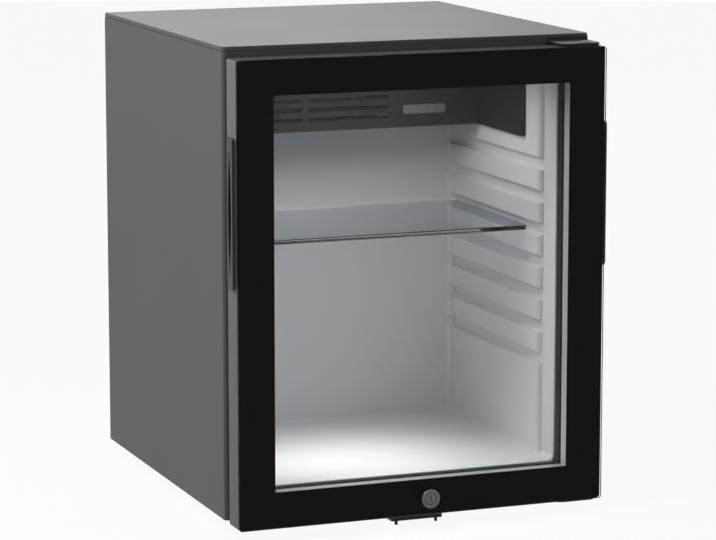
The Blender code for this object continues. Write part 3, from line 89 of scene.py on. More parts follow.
# Compartment and its runners
ROOM_HALF = 0.165
ROOM_FLOOR = 0.0325
ROOM_CEILING = 0.447
ROOM_DEPTH = 0.270
LINER_WALL = 0.0020
LINER_CORNER = 0.006
LINER_REAR_CORNER = 0.004
LINER_LIP = 0.0012
FLANGE_FRONT = 0.00145
FLANGE_REACH = 0.017
RUNNER_SETBACK = 0.031
RUNNER_PROUD = 0.006
RUNNER_COUNT = 7
RUNNER_LOW = 0.1301
RUNNER_PITCH = 0.0345
RUNNER_GAP = 0.0125
RUNNER_EDGE = 0.0016

# Cover over the evaporator, with its louvres
COVER_FRONT = 0.180
COVER_REAR = 0.260
COVER_BOTTOM = 0.369
COVER_TOP = 0.4407
COVER_TIP = 0.065
COVER_WALL = 0.0020
COVER_CHEEK = 0.006
LOUVRE_ROWS = 6
LOUVRE_PITCH = 0.0105
LOUVRE_SLOT = 0.0046
LOUVRE_STARTS = (-0.1407, -0.0417)
LOUVRE_LONG = 0.091
LOUVRE_CORNER = 0.0018
LOUVRE_MARGIN = 0.012
SLAT_DEEP = 0.0050
SLAT_THICK = 0.0010
SLAT_LEAN = 38.0
SLAT_EDGE = 0.0004
SLAT_REST = 0.0008

# Lamp, thermostat and knob
CONTROLS_X = 0.0905
LENS_HALF = 0.0245
LENS_LOW = 0.383
LENS_HIGH = 0.393
LENS_FRONT = 0.1794
LENS_BACK = 0.186
LENS_CORNER = 0.002
LENS_RIBS = 22
KNOB_HEIGHT = 0.422
KNOB_RADIUS = 0.0130
KNOB_FRONT = 0.1697
KNOB_BACK = 0.1794
KNOB_RIDGES = 36
KNOB_STEM = 0.0035
KNOB_ROUND = 0.0012
DIAL_MARKS = 7

# Shelf and feet; a foot's section gives radius and height
SHELF_FRONT = 0.068
SHELF_BACK = 0.262
SHELF_LOW = 0.2684
SHELF_THICK = 0.005
FOOT_X = 0.148
FOOT_ROWS = (("front", 0.062), ("rear", 0.354))
FOOT_HEIGHT = 0.0165
FOOT_SECTION = ((0.0070, -0.0157), (0.0112, -0.0157), (0.0118, -0.0165), (0.0140, -0.0165), (0.0146, -0.0162),
                (0.0148, -0.0155), (0.0147, -0.0125), (0.0140, -0.0118), (0.0140, -0.0110), (0.0144, -0.0104),
                (0.0128, -0.0012), (0.0122, -0.0003), (0.0040, -0.0003), (0.0040, 0.0032), (0.0032, 0.0040))

# Cooling unit: evaporator inside, boiler, condenser, coil and drum behind
EVAPORATOR_Y = 0.222
EVAPORATOR_Z = 0.400
TUBE_RADIUS = 0.007
FIN_PITCH = 0.014
UNIT_Y = 0.3583
PORT_Y = 0.3186
PORT_LEFT = -0.140
PORT_RIGHT = 0.060
PORT_RADIUS = 0.0106
GROMMET_INNER = 0.0073
GROMMET_OUTER = 0.0103
GROMMET_END = 0.3113
TIGHT_BEND = 0.012
WIDE_BEND = 0.016
BOILER_X = 0.135
JACKET_LOW = 0.055
JACKET_HIGH = 0.300
JACKET_RADIUS = 0.032
JACKET_GROOVES = (0.064, 0.150, 0.183, 0.216, 0.291)
CONDENSER_HIGH = 0.4385
CONDENSER_FALL = 0.004
CONDENSER_FAR = -0.106
COIL_Y = 0.3473
COIL_RIGHT = 0.070
COIL_HIGH = 0.300
COIL_PITCH = 0.038
COIL_RUNS = 4
COIL_FOOT = 0.1023
DRUM_HEIGHT = 0.075
DRUM_RADIUS = 0.027
DRUM_DOME = 0.0095
SEAM_HALF = 0.0009
SEAM_PROUD = 0.0007

# Door
DOOR_LOW = -0.0014
DOOR_HIGH = 0.4729
DOOR_FACE = -0.045
GLASS_BACK = -0.041
PRINT_FRONT = -0.0407
PRINT_BACK = -0.0404
DOOR_CORNER = 0.003
GRIP_Y = -0.0268
GRIP_Z = 0.320
GRIP_PROUD = 0.0040
GRIP_REAR_PROUD = 0.0008
GRIP_HALF_DEEP = 0.01275
GRIP_HALF_TALL = 0.075
GRIP_CORNER = 0.0035
GRIP_EDGE = 0.0007
BOWL_LONG = 0.128
BOWL_WIDE = 0.013
LOCK_X = 0.007
LOCK_Z = 0.015
LOCK_HOLE = 0.0091
HINGE_X = 0.184
HINGE_Y = -0.027
PIN_RADIUS = 0.0035
PIN_HEAD = 0.0055
SCREW_RADIUS = 0.0028
HINGE_SCREWS = (("left", 0.1606), ("right", 0.1904))
CATCH_SCREWS = (("left", -0.021), ("right", 0.023))

# Glazing and gasket
WINDOW_LOW = (-0.1605, 0.0355)
WINDOW_HIGH = (0.1605, 0.4366)
INNER_LOW = (-0.1675, -0.0268, 0.0285)
INNER_HIGH = (0.1675, -0.0228, 0.4436)
GASKET_INSET = 0.015
GASKET_WIDE = 0.0165
GASKET_FRONT = -0.0132
GASKET_REAR = -0.0003

# Where the case's drawing starts in the frame: its middle, its front face and its underside
CASE_PLACE = Vector((0.0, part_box("front_frame")[0].y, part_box("base_plate")[0].z))


class Wire:
    """A value in a node tree; sums on it add Math nodes."""

    def __init__(self, board, socket):
        self.board = board
        self.socket = socket

    def sum(self, operation, first, second):
        return self.board.node("ShaderNodeMath", {0: first, 1: second}, operation=operation)

    def __add__(self, other):
        return self.sum("ADD", self, other)

    __radd__ = __add__

    def __sub__(self, other):
        return self.sum("SUBTRACT", self, other)

    def __rsub__(self, other):
        return self.sum("SUBTRACT", other, self)

    def __mul__(self, other):
        return self.sum("MULTIPLY", self, other)

    __rmul__ = __mul__

    def __abs__(self):
        return self.sum("ABSOLUTE", self, 0.0)

    def __lt__(self, other):
        return self.sum("LESS_THAN", self, other)


class Board:
    """Adds nodes to one node tree."""

    def __init__(self, tree):
        self.tree = tree

    def node(self, kind, sockets=None, out=0, **settings):
        made = self.tree.nodes.new(kind)
        for name, value in settings.items():
            setattr(made, name, value)
        for key, value in (sockets or {}).items():
            if isinstance(value, Wire):
                self.tree.links.new(value.socket, made.inputs[key])
            else:
                made.inputs[key].default_value = value
        return Wire(self, made.outputs[out]) if made.outputs else made

    def place(self, stretch=(1, 1, 1)):
        """Where a point lies on the object, stretched along its axes."""
        here = self.node("ShaderNodeTexCoord", out=3)
        return self.node("ShaderNodeMapping", {"Vector": here, "Scale": stretch})

    def noise(self, scale, detail=2.0, stretch=(1, 1, 1)):
        return self.node("ShaderNodeTexNoise", {"Vector": self.place(stretch), "Scale": scale, "Detail": detail})

    def blend(self, share, first, second):
        """Two colours mixed."""
        return self.node("ShaderNodeMix", {0: share, 6: first, 7: second}, 2, data_type="RGBA")

    def bump(self, height, depth):
        return self.node("ShaderNodeBump", {"Height": height, "Distance": depth, "Strength": 1.0})

    def rays(self, *kinds):
        """Wires that say which kind of ray looks."""
        path = self.node("ShaderNodeLightPath").socket.node
        return [Wire(self, path.outputs[kind]) for kind in kinds]

    def principled(self, **sockets):
        names = {name.replace("_", " "): value for name, value in sockets.items()}
        return self.node("ShaderNodeBsdfPrincipled", names)

    def show(self, shader):
        self.node("ShaderNodeOutputMaterial", {"Surface": shader})


def grey(level, tint=(1.0, 1.0, 1.0)):
    """A colour of one lightness, a little tinted."""
    return (*(level * part for part in tint), 1.0)


def new_finish(name):
    finish = bpy.data.materials.new(name)
    finish.use_nodes = True
    finish.node_tree.nodes.clear()
    return finish, Board(finish.node_tree)


def stile_mask_over_shaded_rails(board):
    """One on the door frame's uprights and nought on its rails, mitred at the corners; the rails' dark tone is
    partly painted shade.
    """
    here = board.place()
    across, up = (board.node("ShaderNodeSeparateXYZ", {"Vector": here}, out=axis) for axis in (0, 2))
    middle = CASE_PLACE.z + (DOOR_LOW + DOOR_HIGH) / 2
    # Near-black rails: partly the frame's own colour, partly painted shade on the door's top face.
    return HALF_WIDTH - abs(across) < (DOOR_HIGH - DOOR_LOW) / 2 - abs(up - middle)


def moulded(name, dark, light, rough, grain, depth, cloud=6.0, gloss=0.5, stile_tones_over_shaded_rails=None):
    """A coated or moulded surface: soft clouding of tone and gloss, and a fine grain.

    stile_tones_over_shaded_rails are the tones of a frame's uprights, where they aren't those of its rails; the
    rails' darker tone is partly painted shade.
    """
    finish, board = new_finish(name)
    patch = board.noise(cloud, 3.0)
    fine = board.noise(grain, 2.0)
    colour = board.blend(patch, grey(dark), grey(light))
    # Light uprights over dark rails; the rails' darkness is partly painted shade.
    if stile_tones_over_shaded_rails:
        colour = board.blend(stile_mask_over_shaded_rails(board), colour, board.blend(patch, *map(grey, stile_tones_over_shaded_rails)))
    board.show(board.principled(
        Base_Color=colour, Roughness=rough - 0.06 + patch * 0.08 + fine * 0.06,
        Specular_IOR_Level=gloss, Normal=board.bump(fine, depth)))
    return finish


def brushed(name, dark, light, rough, stretch=(1, 1, 1)):
    """Bare metal drawn or rolled in one direction."""
    finish, board = new_finish(name)
    streak = board.noise(90.0, 4.0, stretch)
    patch = board.noise(14.0, 2.0)
    board.show(board.principled(
        Base_Color=board.blend(streak, grey(dark), grey(light)),
        Roughness=rough - 0.05 + streak * 0.12 + patch * 0.08,
        Metallic=1.0, Normal=board.bump(streak, 0.00003)))
    return finish


def zinc_sheet():
    """Hot-dipped sheet steel with its crystal spangle."""
    finish, board = new_finish("zinc_sheet")
    cell = board.node("ShaderNodeTexVoronoi", {"Vector": board.place(), "Scale": 150.0}, out=1)
    tone = board.node("ShaderNodeSeparateColor", {"Color": cell})
    cloud = board.noise(10.0, 3.0)
    board.show(board.principled(
        Base_Color=board.blend(tone * 0.5 + cloud * 0.5, grey(0.36), grey(0.52, (0.98, 1.0, 1.02))),
        Roughness=0.32 + tone * 0.10 + cloud * 0.08, Metallic=1.0,
        Normal=board.bump(tone, 0.00002)))
    return finish


def clear_glass(name, tint, bend):
    """Clear sheet glass: lamps and soft light reach what is behind it."""
    finish, board = new_finish(name)
    smear = board.noise(9.0, 3.0) * 0.004
    sheet = board.principled(Base_Color=tint, Roughness=smear, IOR=bend, Transmission_Weight=1.0)
    lamp, soft = board.rays("Is Shadow Ray", "Is Diffuse Ray")
    open_air = board.node("ShaderNodeBsdfTransparent", {"Color": tint})
    board.show(board.node("ShaderNodeMixShader", {0: lamp + soft, 1: sheet, 2: open_air}))
    return finish


def foam_cells():
    """Rigid foam with fine closed cells."""
    finish, board = new_finish("foam_cells")
    cell = board.node("ShaderNodeTexVoronoi", {"Vector": board.place(), "Scale": 900.0})
    cloud = board.noise(20.0, 4.0)
    board.show(board.principled(
        Base_Color=board.blend(cloud, (0.62, 0.50, 0.26, 1.0), (0.78, 0.68, 0.42, 1.0)),
        Roughness=0.82 + cell * 0.1, Normal=board.bump(cell, 0.0003)))
    return finish


def spacer_bar():
    """Spacer of drawn aluminium with a row of fine breathing slots."""
    finish, board = new_finish("spacer_bar")
    slots = board.node("ShaderNodeTexBrick", {
        "Vector": board.place(), "Scale": 420.0, "Color1": grey(1.0), "Color2": grey(1.0), "Mortar": grey(0.0),
        "Mortar Size": 0.35}, out=1, offset=0.5)
    streak = board.noise(60.0, 3.0, (0.3, 6.0, 0.3))
    board.show(board.principled(
        Base_Color=board.blend(slots * 0.6 + streak * 0.3, grey(0.80), grey(0.62)),
        Roughness=0.34 + streak * 0.15, Metallic=0.6, Normal=board.bump(slots, -0.00005)))
    return finish


def circuit_green():
    """Circuit board: lacquered green with copper tracks."""
    finish, board = new_finish("circuit_green")
    tracks = board.node("ShaderNodeTexBrick", {
        "Vector": board.place(), "Scale": 260.0, "Color1": grey(0.0), "Color2": grey(0.0), "Mortar": grey(1.0),
        "Mortar Size": 0.06}, out=1)
    board.show(board.principled(
        Base_Color=board.blend(tracks, (0.02, 0.16, 0.06, 1.0), (0.10, 0.32, 0.12, 1.0)),
        Roughness=0.30 + tracks * 0.15, Normal=board.bump(tracks, 0.00005)))
    return finish


def make_finishes():
    """The finish of each kind of piece, by its slot in the record."""
    return {
        "case_paint": moulded("powder_coat", 0.078, 0.092, 0.46, 900.0, 0.00018, gloss=0.25),
        "galvanised": zinc_sheet(),
        "liner_plastic": moulded("liner_sheet", 0.76, 0.80, 0.40, 1300.0, 0.00003, cloud=9.0),
        "foam": foam_cells(),
        "dark_plastic": moulded("dark_moulding", 0.017, 0.023, 0.48, 1700.0, 0.00004, gloss=0.25),
        "white_plastic": moulded("white_moulding", 0.70, 0.76, 0.42, 1500.0, 0.00003),
        "lamp_lens": moulded("smoked_lens", 0.10, 0.13, 0.24, 2000.0, 0.00002),
        "circuit_board": circuit_green(),
        "spacer": spacer_bar(),
        "aluminium": brushed("mill_aluminium", 0.62, 0.80, 0.28, (0.2, 6.0, 6.0)),
        "black_paint": moulded("black_enamel", 0.014, 0.022, 0.40, 500.0, 0.00006, gloss=0.2),
        "rubber": moulded("soft_rubber", 0.013, 0.020, 0.62, 900.0, 0.00005, gloss=0.2),
        "glass": clear_glass("sheet_glass", (0.99, 0.996, 0.994, 1.0), 1.12),
        "shelf_pane": clear_glass("shelf_pane", (0.74, 0.775, 0.82, 1.0), 1.45),
        "black_print": moulded("black_ceramic_print", 0.0030, 0.0040, 0.7, 600.0, 0.0, gloss=0.0),
        # Door frame: light uprights, near-black rails that partly paint shade on the door's top face.
        "frame_plastic": moulded("frame_moulding_shaded_rails", 0.036, 0.044, 0.55, 1500.0, 0.00004, gloss=0.02,
                                 stile_tones_over_shaded_rails=(0.225, 0.245)),
        "lock_metal": brushed("lock_nickel", 0.075, 0.15, 0.26),
        "chrome": brushed("bright_plate", 0.50, 0.66, 0.20),
    }


def arc(centre, radius, start, end, steps=FINE):
    """Points along an arc, angles in degrees."""
    angles = [radians(start + (end - start) * i / steps) for i in range(steps + 1)]
    return [(centre[0] + radius * cos(a), centre[1] + radius * sin(a)) for a in angles]


def quarter(steps):
    """Angles from nought to a right angle."""
    return [radians(90 * step / steps) for step in range(steps + 1)]


def pane(low, high, radius, steps=FINE):
    """A rectangle's outline with rounded corners."""
    radius = max(radius, 0.0001)
    a0, b0, a1, b1 = low[0] + radius, low[1] + radius, high[0] - radius, high[1] - radius
    return (arc((a0, b0), radius, 180, 270, steps) + arc((a1, b0), radius, 270, 360, steps)
            + arc((a1, b1), radius, 0, 90, steps) + arc((a0, b1), radius, 90, 180, steps))


def rounded(points, radii, steps=FINE):
    """An outline whose corners are arcs, each of its own radius."""
    outline = []
    for i, radius in enumerate(radii):
        corner = Vector(points[i])
        if radius <= 0:
            outline.append(tuple(corner))
            continue
        before = (Vector(points[i - 1]) - corner).normalized()
        after = (Vector(points[(i + 1) % len(points)]) - corner).normalized()
        half = before.angle(after) / 2
        middle = corner + (before + after).normalized() * radius / sin(half)
        first = corner + before * radius / tan(half) - middle
        turn = first.angle_signed(corner + after * radius / tan(half) - middle)
        for step in range(steps + 1):
            angle = -turn * step / steps
            outline.append((middle.x + first.x * cos(angle) - first.y * sin(angle),
                            middle.y + first.x * sin(angle) + first.y * cos(angle)))
    return outline


def lift(outline, axis, value):
    """A flat outline put at a place along an axis: X takes (y, z), Y (x, z), Z (x, y)."""
    if axis == "X":
        return [(value, a, b) for a, b in outline]
    if axis == "Y":
        return [(a, value, b) for a, b in outline]
    return [(a, b, value) for a, b in outline]


def skin(bm, loops, ring=False):
    """Skin equal loops of points; the ends are capped, or joined into a ring."""
    rows = [[bm.verts.new(point) for point in loop] for loop in loops]
    following = rows[1:] + rows[:1] if ring else rows[1:]
    for low, high in zip(rows, following):
        for i in range(len(low)):
            j = (i + 1) % len(low)
            bm.faces.new((low[i], low[j], high[j], high[i]))
    if not ring:
        bm.faces.new(rows[0][::-1])
        bm.faces.new(rows[-1])
    return bm


def prism(outline, axis, low, high, bm=None):
    """An outline extruded along an axis."""
    return skin(bm or bmesh.new(), [lift(outline, axis, low), lift(outline, axis, high)])


def soft_slab(low, high, axis, corner, edge):
    """A slab with rounded corners seen along its axis, and rounded edges at both its faces."""
    low, high = Vector(low), Vector(high)
    along = "XYZ".index(axis)
    a, b = (i for i in range(3) if i != along)
    loops = []
    for face, way, turns in ((low[along], 1, quarter(4)), (high[along], -1, quarter(4)[::-1])):
        for angle in turns:
            inset = edge * (1 - sin(angle))
            outline = pane((low[a] + inset, low[b] + inset), (high[a] - inset, high[b] - inset),
                           max(corner - inset, SHARPEST), 6)
            loops.append(lift(outline, axis, face + way * edge * (1 - cos(angle))))
    return skin(bmesh.new(), loops)


def circle(centre, radius, sides=SIDES):
    return arc(centre, radius, 0, 360 - 360 / sides, sides - 1)


def turned(profile, axis, centre, sides=SIDES, ring=False):
    """A round solid: (radius, place along the axis) points turned about that axis."""
    return skin(bmesh.new(), [lift(circle(centre, r, sides), axis, place) for r, place in profile], ring)


def border(profile, low, high, corner):
    """A frame in the XZ plane: (inset, y) points carried round a rounded rectangle."""
    loops = []
    for inset, place in profile:
        outline = pane((low[0] + inset, low[1] + inset), (high[0] - inset, high[1] - inset),
                       max(corner - inset, 0.0006), 6)
        loops.append(lift(outline, "Y", place))
    return skin(bmesh.new(), loops, ring=True)


def linked(name, data):
    """A new object in the scene."""
    piece = bpy.data.objects.new(name, data)
    bpy.context.scene.collection.objects.link(piece)
    return piece


def mesh_of(name, bm):
    """A shape's mesh, with its doubles merged and its faces turned outwards."""
    bmesh.ops.remove_doubles(bm, verts=bm.verts, dist=1e-6)
    bmesh.ops.recalc_face_normals(bm, faces=bm.faces)
    mesh = bpy.data.meshes.new(name)
    bm.to_mesh(mesh)
    bm.free()
    return mesh


def shape(name, bm):
    """A new object, drawn from the case's front face, its middle and its underside."""
    bmesh.ops.translate(bm, verts=bm.verts, vec=CASE_PLACE)
    return linked(name, mesh_of(name, bm))


def evaluated(piece):
    """A plain mesh of a piece as its modifiers leave it."""
    bpy.context.view_layer.update()
    return bpy.data.meshes.new_from_object(piece.evaluated_get(bpy.context.evaluated_depsgraph_get()))


def settle(piece):
    """Turn a piece with its modifiers into one plain mesh."""
    mesh = evaluated(piece)
    piece.modifiers.clear()
    piece.data = mesh


def boolean(piece, bm, operation="DIFFERENCE"):
    """Cut a shape out of a piece, or join one to it."""
    tool = shape("tool", bm)
    modifier = piece.modifiers.new("tool", "BOOLEAN")
    modifier.operation = operation
    modifier.object = tool
    settle(piece)
    bpy.data.objects.remove(tool)


def ease(piece, width):
    """Round a piece's sharp edges a little, as a press or a mould leaves them."""
    bevel = piece.modifiers.new("edge", "BEVEL")
    bevel.width = width
    bevel.segments = 2
    bevel.limit_method = "ANGLE"
    bevel.angle_limit = radians(30)
    bevel.miter_outer = "MITER_ARC"
    settle(piece)


def dress(piece, slot, *stands_for, body="cabinet", edge=0.0, crease=32, look=None):
    """Give a piece its finish and clean shading, and let it ride on a body in place of frame nodes."""
    if edge:
        ease(piece, edge)
    piece.data.materials.clear()
    piece.data.materials.append(FINISHES[look or slot])
    piece.data.shade_smooth()
    piece.data.set_sharp_from_angle(angle=radians(crease))
    weighted = piece.modifiers.new("weighted", "WEIGHTED_NORMAL")
    weighted.keep_sharp = True
    settle(piece)
    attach(piece, body)
    if stands_for:
        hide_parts(*stands_for)


def repeated(piece, count, slot, step=(0, 0, 0), turn=(0, 0, 0), centre=(0, 0, 0)):
    """Copies of one shape in a row, or round a centre, made by a node tree."""
    tree = bpy.data.node_groups.new("copies", "GeometryNodeTree")
    for label, kind in (("Shape", "Geometry"), ("Count", "Int"), ("Step", "Vector"), ("Turn", "Vector"),
                        ("Centre", "Vector"), ("Finish", "Material")):
        tree.interface.new_socket(label, in_out="INPUT", socket_type="NodeSocket" + kind)
    tree.interface.new_socket("Copies", in_out="OUTPUT", socket_type="NodeSocketGeometry")
    board = Board(tree)
    given = board.node("NodeGroupInput")
    ask = {socket.name: Wire(board, socket) for socket in given.socket.node.outputs if socket.name}
    line = board.node("GeometryNodeMeshLine", {"Count": ask["Count"], "Offset": ask["Step"]}, mode="OFFSET")
    points = board.node("GeometryNodeMeshToPoints", {"Mesh": line})
    placed = board.node("GeometryNodeInstanceOnPoints", {"Points": points, "Instance": ask["Shape"]})
    index = board.node("GeometryNodeInputIndex")
    turned_by = board.node("ShaderNodeVectorMath", {0: ask["Turn"], "Scale": index}, operation="SCALE")
    swung = board.node("GeometryNodeRotateInstances", {
        "Instances": placed, "Rotation": turned_by, "Pivot Point": ask["Centre"], "Local Space": False})
    real = board.node("GeometryNodeRealizeInstances", {"Geometry": swung})
    done = board.node("GeometryNodeSetMaterial", {"Geometry": real, "Material": ask["Finish"]})
    board.node("NodeGroupOutput", {0: done})
    modifier = piece.modifiers.new("copies", "NODES")
    modifier.node_group = tree
    values = {"Count": count, "Step": step, "Turn": [radians(a) for a in turn],
              "Centre": tuple(Vector(centre) + CASE_PLACE), "Finish": FINISHES[slot]}
    for item in tree.interface.items_tree:
        if item.in_out == "INPUT" and item.name in values:
            modifier[item.identifier] = values[item.name]
    settle(piece)
    return piece


def worked(name, slot, edge, body="cabinet", look=None):
    """A frame node's shape with its edges eased."""
    bm = bmesh.new()
    bm.from_mesh(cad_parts[name].data)
    bmesh.ops.remove_doubles(bm, verts=bm.verts, dist=1e-6)
    bmesh.ops.dissolve_limit(bm, angle_limit=radians(0.4), verts=bm.verts, edges=bm.edges)
    mesh = bpy.data.meshes.new(name + "_eased")
    bm.to_mesh(mesh)
    bm.free()
    dress(linked(name + "_eased", mesh), slot, name, body=body, edge=edge, look=look)


def bent(points, radius):
    """A pipe's middle line: straight runs joined by arcs."""
    line = [Vector(points[0])]
    last_corner = len(points) - 2
    for number, corner in enumerate(points[1:-1], 1):
        corner = Vector(corner)
        back = Vector(points[number - 1]) - corner
        on = Vector(points[number + 1]) - corner
        half = back.angle(on) / 2
        room = min(back.length / (1 if number == 1 else 2), on.length / (1 if number == last_corner else 2))
        bend = min(radius, room * tan(half))
        reach = bend / tan(half)
        middle = corner + (back.normalized() + on.normalized()).normalized() * bend / sin(half)
        first = (corner + back.normalized() * reach - middle).normalized()
        last = (corner + on.normalized() * reach - middle).normalized()
        for step in range(FINE + 1):
            line.append(middle + first.slerp(last, step / FINE) * bend)
    line.append(Vector(points[-1]))
    return line


def pipe(name, line, radius, slot, *stands_for, fineness=6):
    """A round tube along a line of points."""
    curve = bpy.data.curves.new(name, "CURVE")
    curve.dimensions = "3D"
    curve.bevel_depth = radius
    curve.bevel_resolution = fineness
    curve.use_fill_caps = True
    spline = curve.splines.new("POLY")
    spline.points.add(len(line) - 1)
    for point, place in zip(spline.points, line):
        point.co = (*(Vector(place) + CASE_PLACE), 1.0)
    piece = linked(name + "_line", curve)
    bm = bmesh.new()
    bm.from_mesh(evaluated(piece))
    bpy.data.objects.remove(piece)
    dress(linked(name, mesh_of(name, bm)), slot, *stands_for)


def folded_panels():
    """The case's two side panels: one sheet each, folded to the front and to the rear."""
    side = HALF_WIDTH
    points = [(side - REAR_RETURN, CASE_DEPTH), (side - REAR_RETURN, CASE_DEPTH - SHEET),
              (side - SHEET, CASE_DEPTH - SHEET), (side - SHEET, SHEET), (side - SIDE_RETURN, SHEET),
              (side - SIDE_RETURN, 0.0), (side, 0.0), (side, CASE_DEPTH)]
    radii = [0, 0, FOLD_CORNER - SHEET, CASE_CORNER - SHEET, 0, 0, CASE_CORNER, FOLD_CORNER]
    outline = rounded(points, radii)
    for name, sign in (("right", 1), ("left", -1)):
        bm = prism([(sign * x, y) for x, y in outline], "Z", 0.0, CAP_BOTTOM - CAP_SEAM)
        dress(shape(f"side_sheet_{name}", bm), "case_paint", f"side_panel_{name}", edge=0.0002)


def folded_cap():
    """The case's top: a pressed lid with a rounded rim, and a tongue behind its seam."""
    tongue, tip = SHEET + CAP_REBATE, CAP_BOTTOM - CAP_TONGUE
    section = [(tongue, CASE_HEIGHT - SHEET), (tongue, tip), (SHEET, tip), (SHEET, CAP_BOTTOM), (0.0, CAP_BOTTOM)]
    section += [(CAP_EDGE * (1 - cos(a)), CASE_HEIGHT - CAP_EDGE * (1 - sin(a))) for a in quarter(FINE)]
    loops = [lift(pane((inset - HALF_WIDTH, inset), (HALF_WIDTH - inset, CASE_DEPTH - inset),
                       CASE_CORNER - inset), "Z", place) for inset, place in section]
    dress(shape("top_lid", skin(bmesh.new(), loops)), "case_paint", "top_cap")


def room_outline(grow, step, shrink):
    """Cross-section of the compartment, grown by a wall; step is how proud the runners are."""
    step = max(step, 0.00006)
    wall = ROOM_HALF + grow - step
    slot = ROOM_HALF + grow
    lip = min(RUNNER_EDGE, step * 0.45)
    right = [(wall - shrink, ROOM_FLOOR - grow + shrink)]
    radii = [LINER_CORNER + grow]
    for level in range(RUNNER_COUNT):
        bottom = RUNNER_LOW + RUNNER_PITCH * level - grow + shrink
        top = RUNNER_LOW + RUNNER_PITCH * level + RUNNER_GAP + grow - shrink
        right += [(wall - shrink, bottom), (slot - shrink, bottom), (slot - shrink, top), (wall - shrink, top)]
        radii += [lip] * 4
    right.append((wall - shrink, ROOM_CEILING + grow - shrink))
    radii.append(LINER_CORNER + grow)
    left = [(-x, z) for x, z in reversed(right)]
    return rounded(right + left, radii + radii[::-1], 5)


def flared(outline, reach):
    """The compartment's mouth let out by a reach, to its lip or to the edge of its flange."""
    points = []
    for x, z in outline:
        rise = 0.0
        if z < ROOM_FLOOR + LINER_CORNER + GAP:
            rise = -reach
        if z > ROOM_CEILING - LINER_CORNER - GAP:
            rise = reach
        points.append((x + copysign(reach, x), z + rise))
    return points


def room_loops(grow):
    """The compartment's loops from its rear wall to the start of its runners."""
    falling = quarter(FINE)[::-1]
    loops = [lift(room_outline(grow, RUNNER_PROUD, LINER_REAR_CORNER * (1 - cos(angle))), "Y",
                  ROOM_DEPTH + grow - LINER_REAR_CORNER * (1 - sin(angle))) for angle in falling]
    loops += [lift(room_outline(grow, RUNNER_PROUD * sin(angle), 0.0), "Y",
                   RUNNER_SETBACK + RUNNER_PROUD * (1 - cos(angle)) + grow) for angle in falling]
    return loops


def formed_liner():
    """Compartment formed from one sheet: rounded corners, runners and a flange at its mouth."""
    mouth = room_outline(0.0, 0.0, 0.0)
    back = room_outline(LINER_WALL, 0.0, 0.0)
    loops = room_loops(0.0)
    for angle in quarter(4):
        loops.append(lift(flared(mouth, LINER_LIP * (1 - cos(angle))), "Y",
                          FLANGE_FRONT + LINER_LIP * (1 - sin(angle))))
    loops.append(lift(flared(mouth, FLANGE_REACH), "Y", FLANGE_FRONT))
    loops.append(lift(flared(mouth, FLANGE_REACH), "Y", FLANGE_FRONT + LINER_WALL))
    loops.append(lift(back, "Y", FLANGE_FRONT + LINER_WALL))
    loops += room_loops(LINER_WALL)[::-1]
    liner = shape("liner_room", skin(bmesh.new(), loops))
    boolean(liner, port_plugs())
    dress(liner, "liner_plastic", "inner_liner", crease=40)


def port_plugs():
    """Cutters where the evaporator's tube passes the liner's rear wall."""
    bm = bmesh.new()
    for x in (PORT_LEFT, PORT_RIGHT):
        prism(circle((x, EVAPORATOR_Z), PORT_RADIUS, 48), "Y", ROOM_DEPTH - 0.002, ROOM_DEPTH + 0.008, bm)
    return bm


def louvred_cover():
    """Moulded cover with two columns of louvres, a lamp window and cheeks along the walls."""
    half = ROOM_HALF - RUNNER_PROUD - GAP
    inner = half - COVER_CHEEK
    outline = rounded([(-half, COVER_TIP), (-inner, COVER_TIP), (-inner, COVER_FRONT), (inner, COVER_FRONT),
                       (inner, COVER_TIP), (half, COVER_TIP), (half, COVER_REAR), (-half, COVER_REAR)],
                      [0.0024, 0.0024, 0.0015, 0.0015, 0.0024, 0.0024, 0, 0], 6)
    cover = shape("louvred_cover", prism(outline, "Z", COVER_BOTTOM, COVER_TOP))
    left, right = COVER_WALL - half, half - COVER_WALL
    near, far = COVER_FRONT + COVER_WALL, COVER_REAR + 0.002
    cutter = prism([(left, near), (right, near), (right, far), (left, far)], "Z", COVER_BOTTOM + COVER_WALL,
                   COVER_TOP + 0.002)
    boolean(cover, cutter)
    cutter = bmesh.new()
    wall = ("Y", COVER_FRONT - 0.002, COVER_FRONT + COVER_WALL + 0.001)
    for row in range(LOUVRE_ROWS):
        middle = COVER_BOTTOM + LOUVRE_MARGIN + LOUVRE_PITCH * row
        for start in LOUVRE_STARTS:
            prism(pane((start, middle - LOUVRE_SLOT / 2), (start + LOUVRE_LONG, middle + LOUVRE_SLOT / 2),
                       LOUVRE_CORNER, 4), *wall, cutter)
    prism(pane((CONTROLS_X - LENS_HALF - GAP, LENS_LOW - GAP), (CONTROLS_X + LENS_HALF + GAP, LENS_HIGH + GAP),
               LENS_CORNER + GAP, 6), *wall, cutter)
    prism(circle((CONTROLS_X, KNOB_HEIGHT), KNOB_STEM + GAP, 32), *wall, cutter)
    boolean(cover, cutter)
    dress(cover, "dark_plastic", "evaporator_cover", edge=0.0003)

    lean = radians(SLAT_LEAN)
    along = Vector((cos(lean), sin(lean))) * SLAT_DEEP
    across = Vector((-sin(lean), cos(lean))) * SLAT_THICK
    start = Vector((COVER_FRONT + 0.0004, COVER_BOTTOM + LOUVRE_MARGIN - LOUVRE_SLOT / 2 - 0.0002))
    corners = [tuple(c) for c in (start, start + along, start + along + across, start + across)]
    section = rounded(corners, [SLAT_EDGE] * 4, 3)
    for name, x in zip(("left", "right"), LOUVRE_STARTS):
        blade = shape(f"louvre_blades_{name}", prism(section, "X", x - SLAT_REST, x + LOUVRE_LONG + SLAT_REST))
        dress(repeated(blade, LOUVRE_ROWS, "dark_plastic", (0, 0, LOUVRE_PITCH)), "dark_plastic")


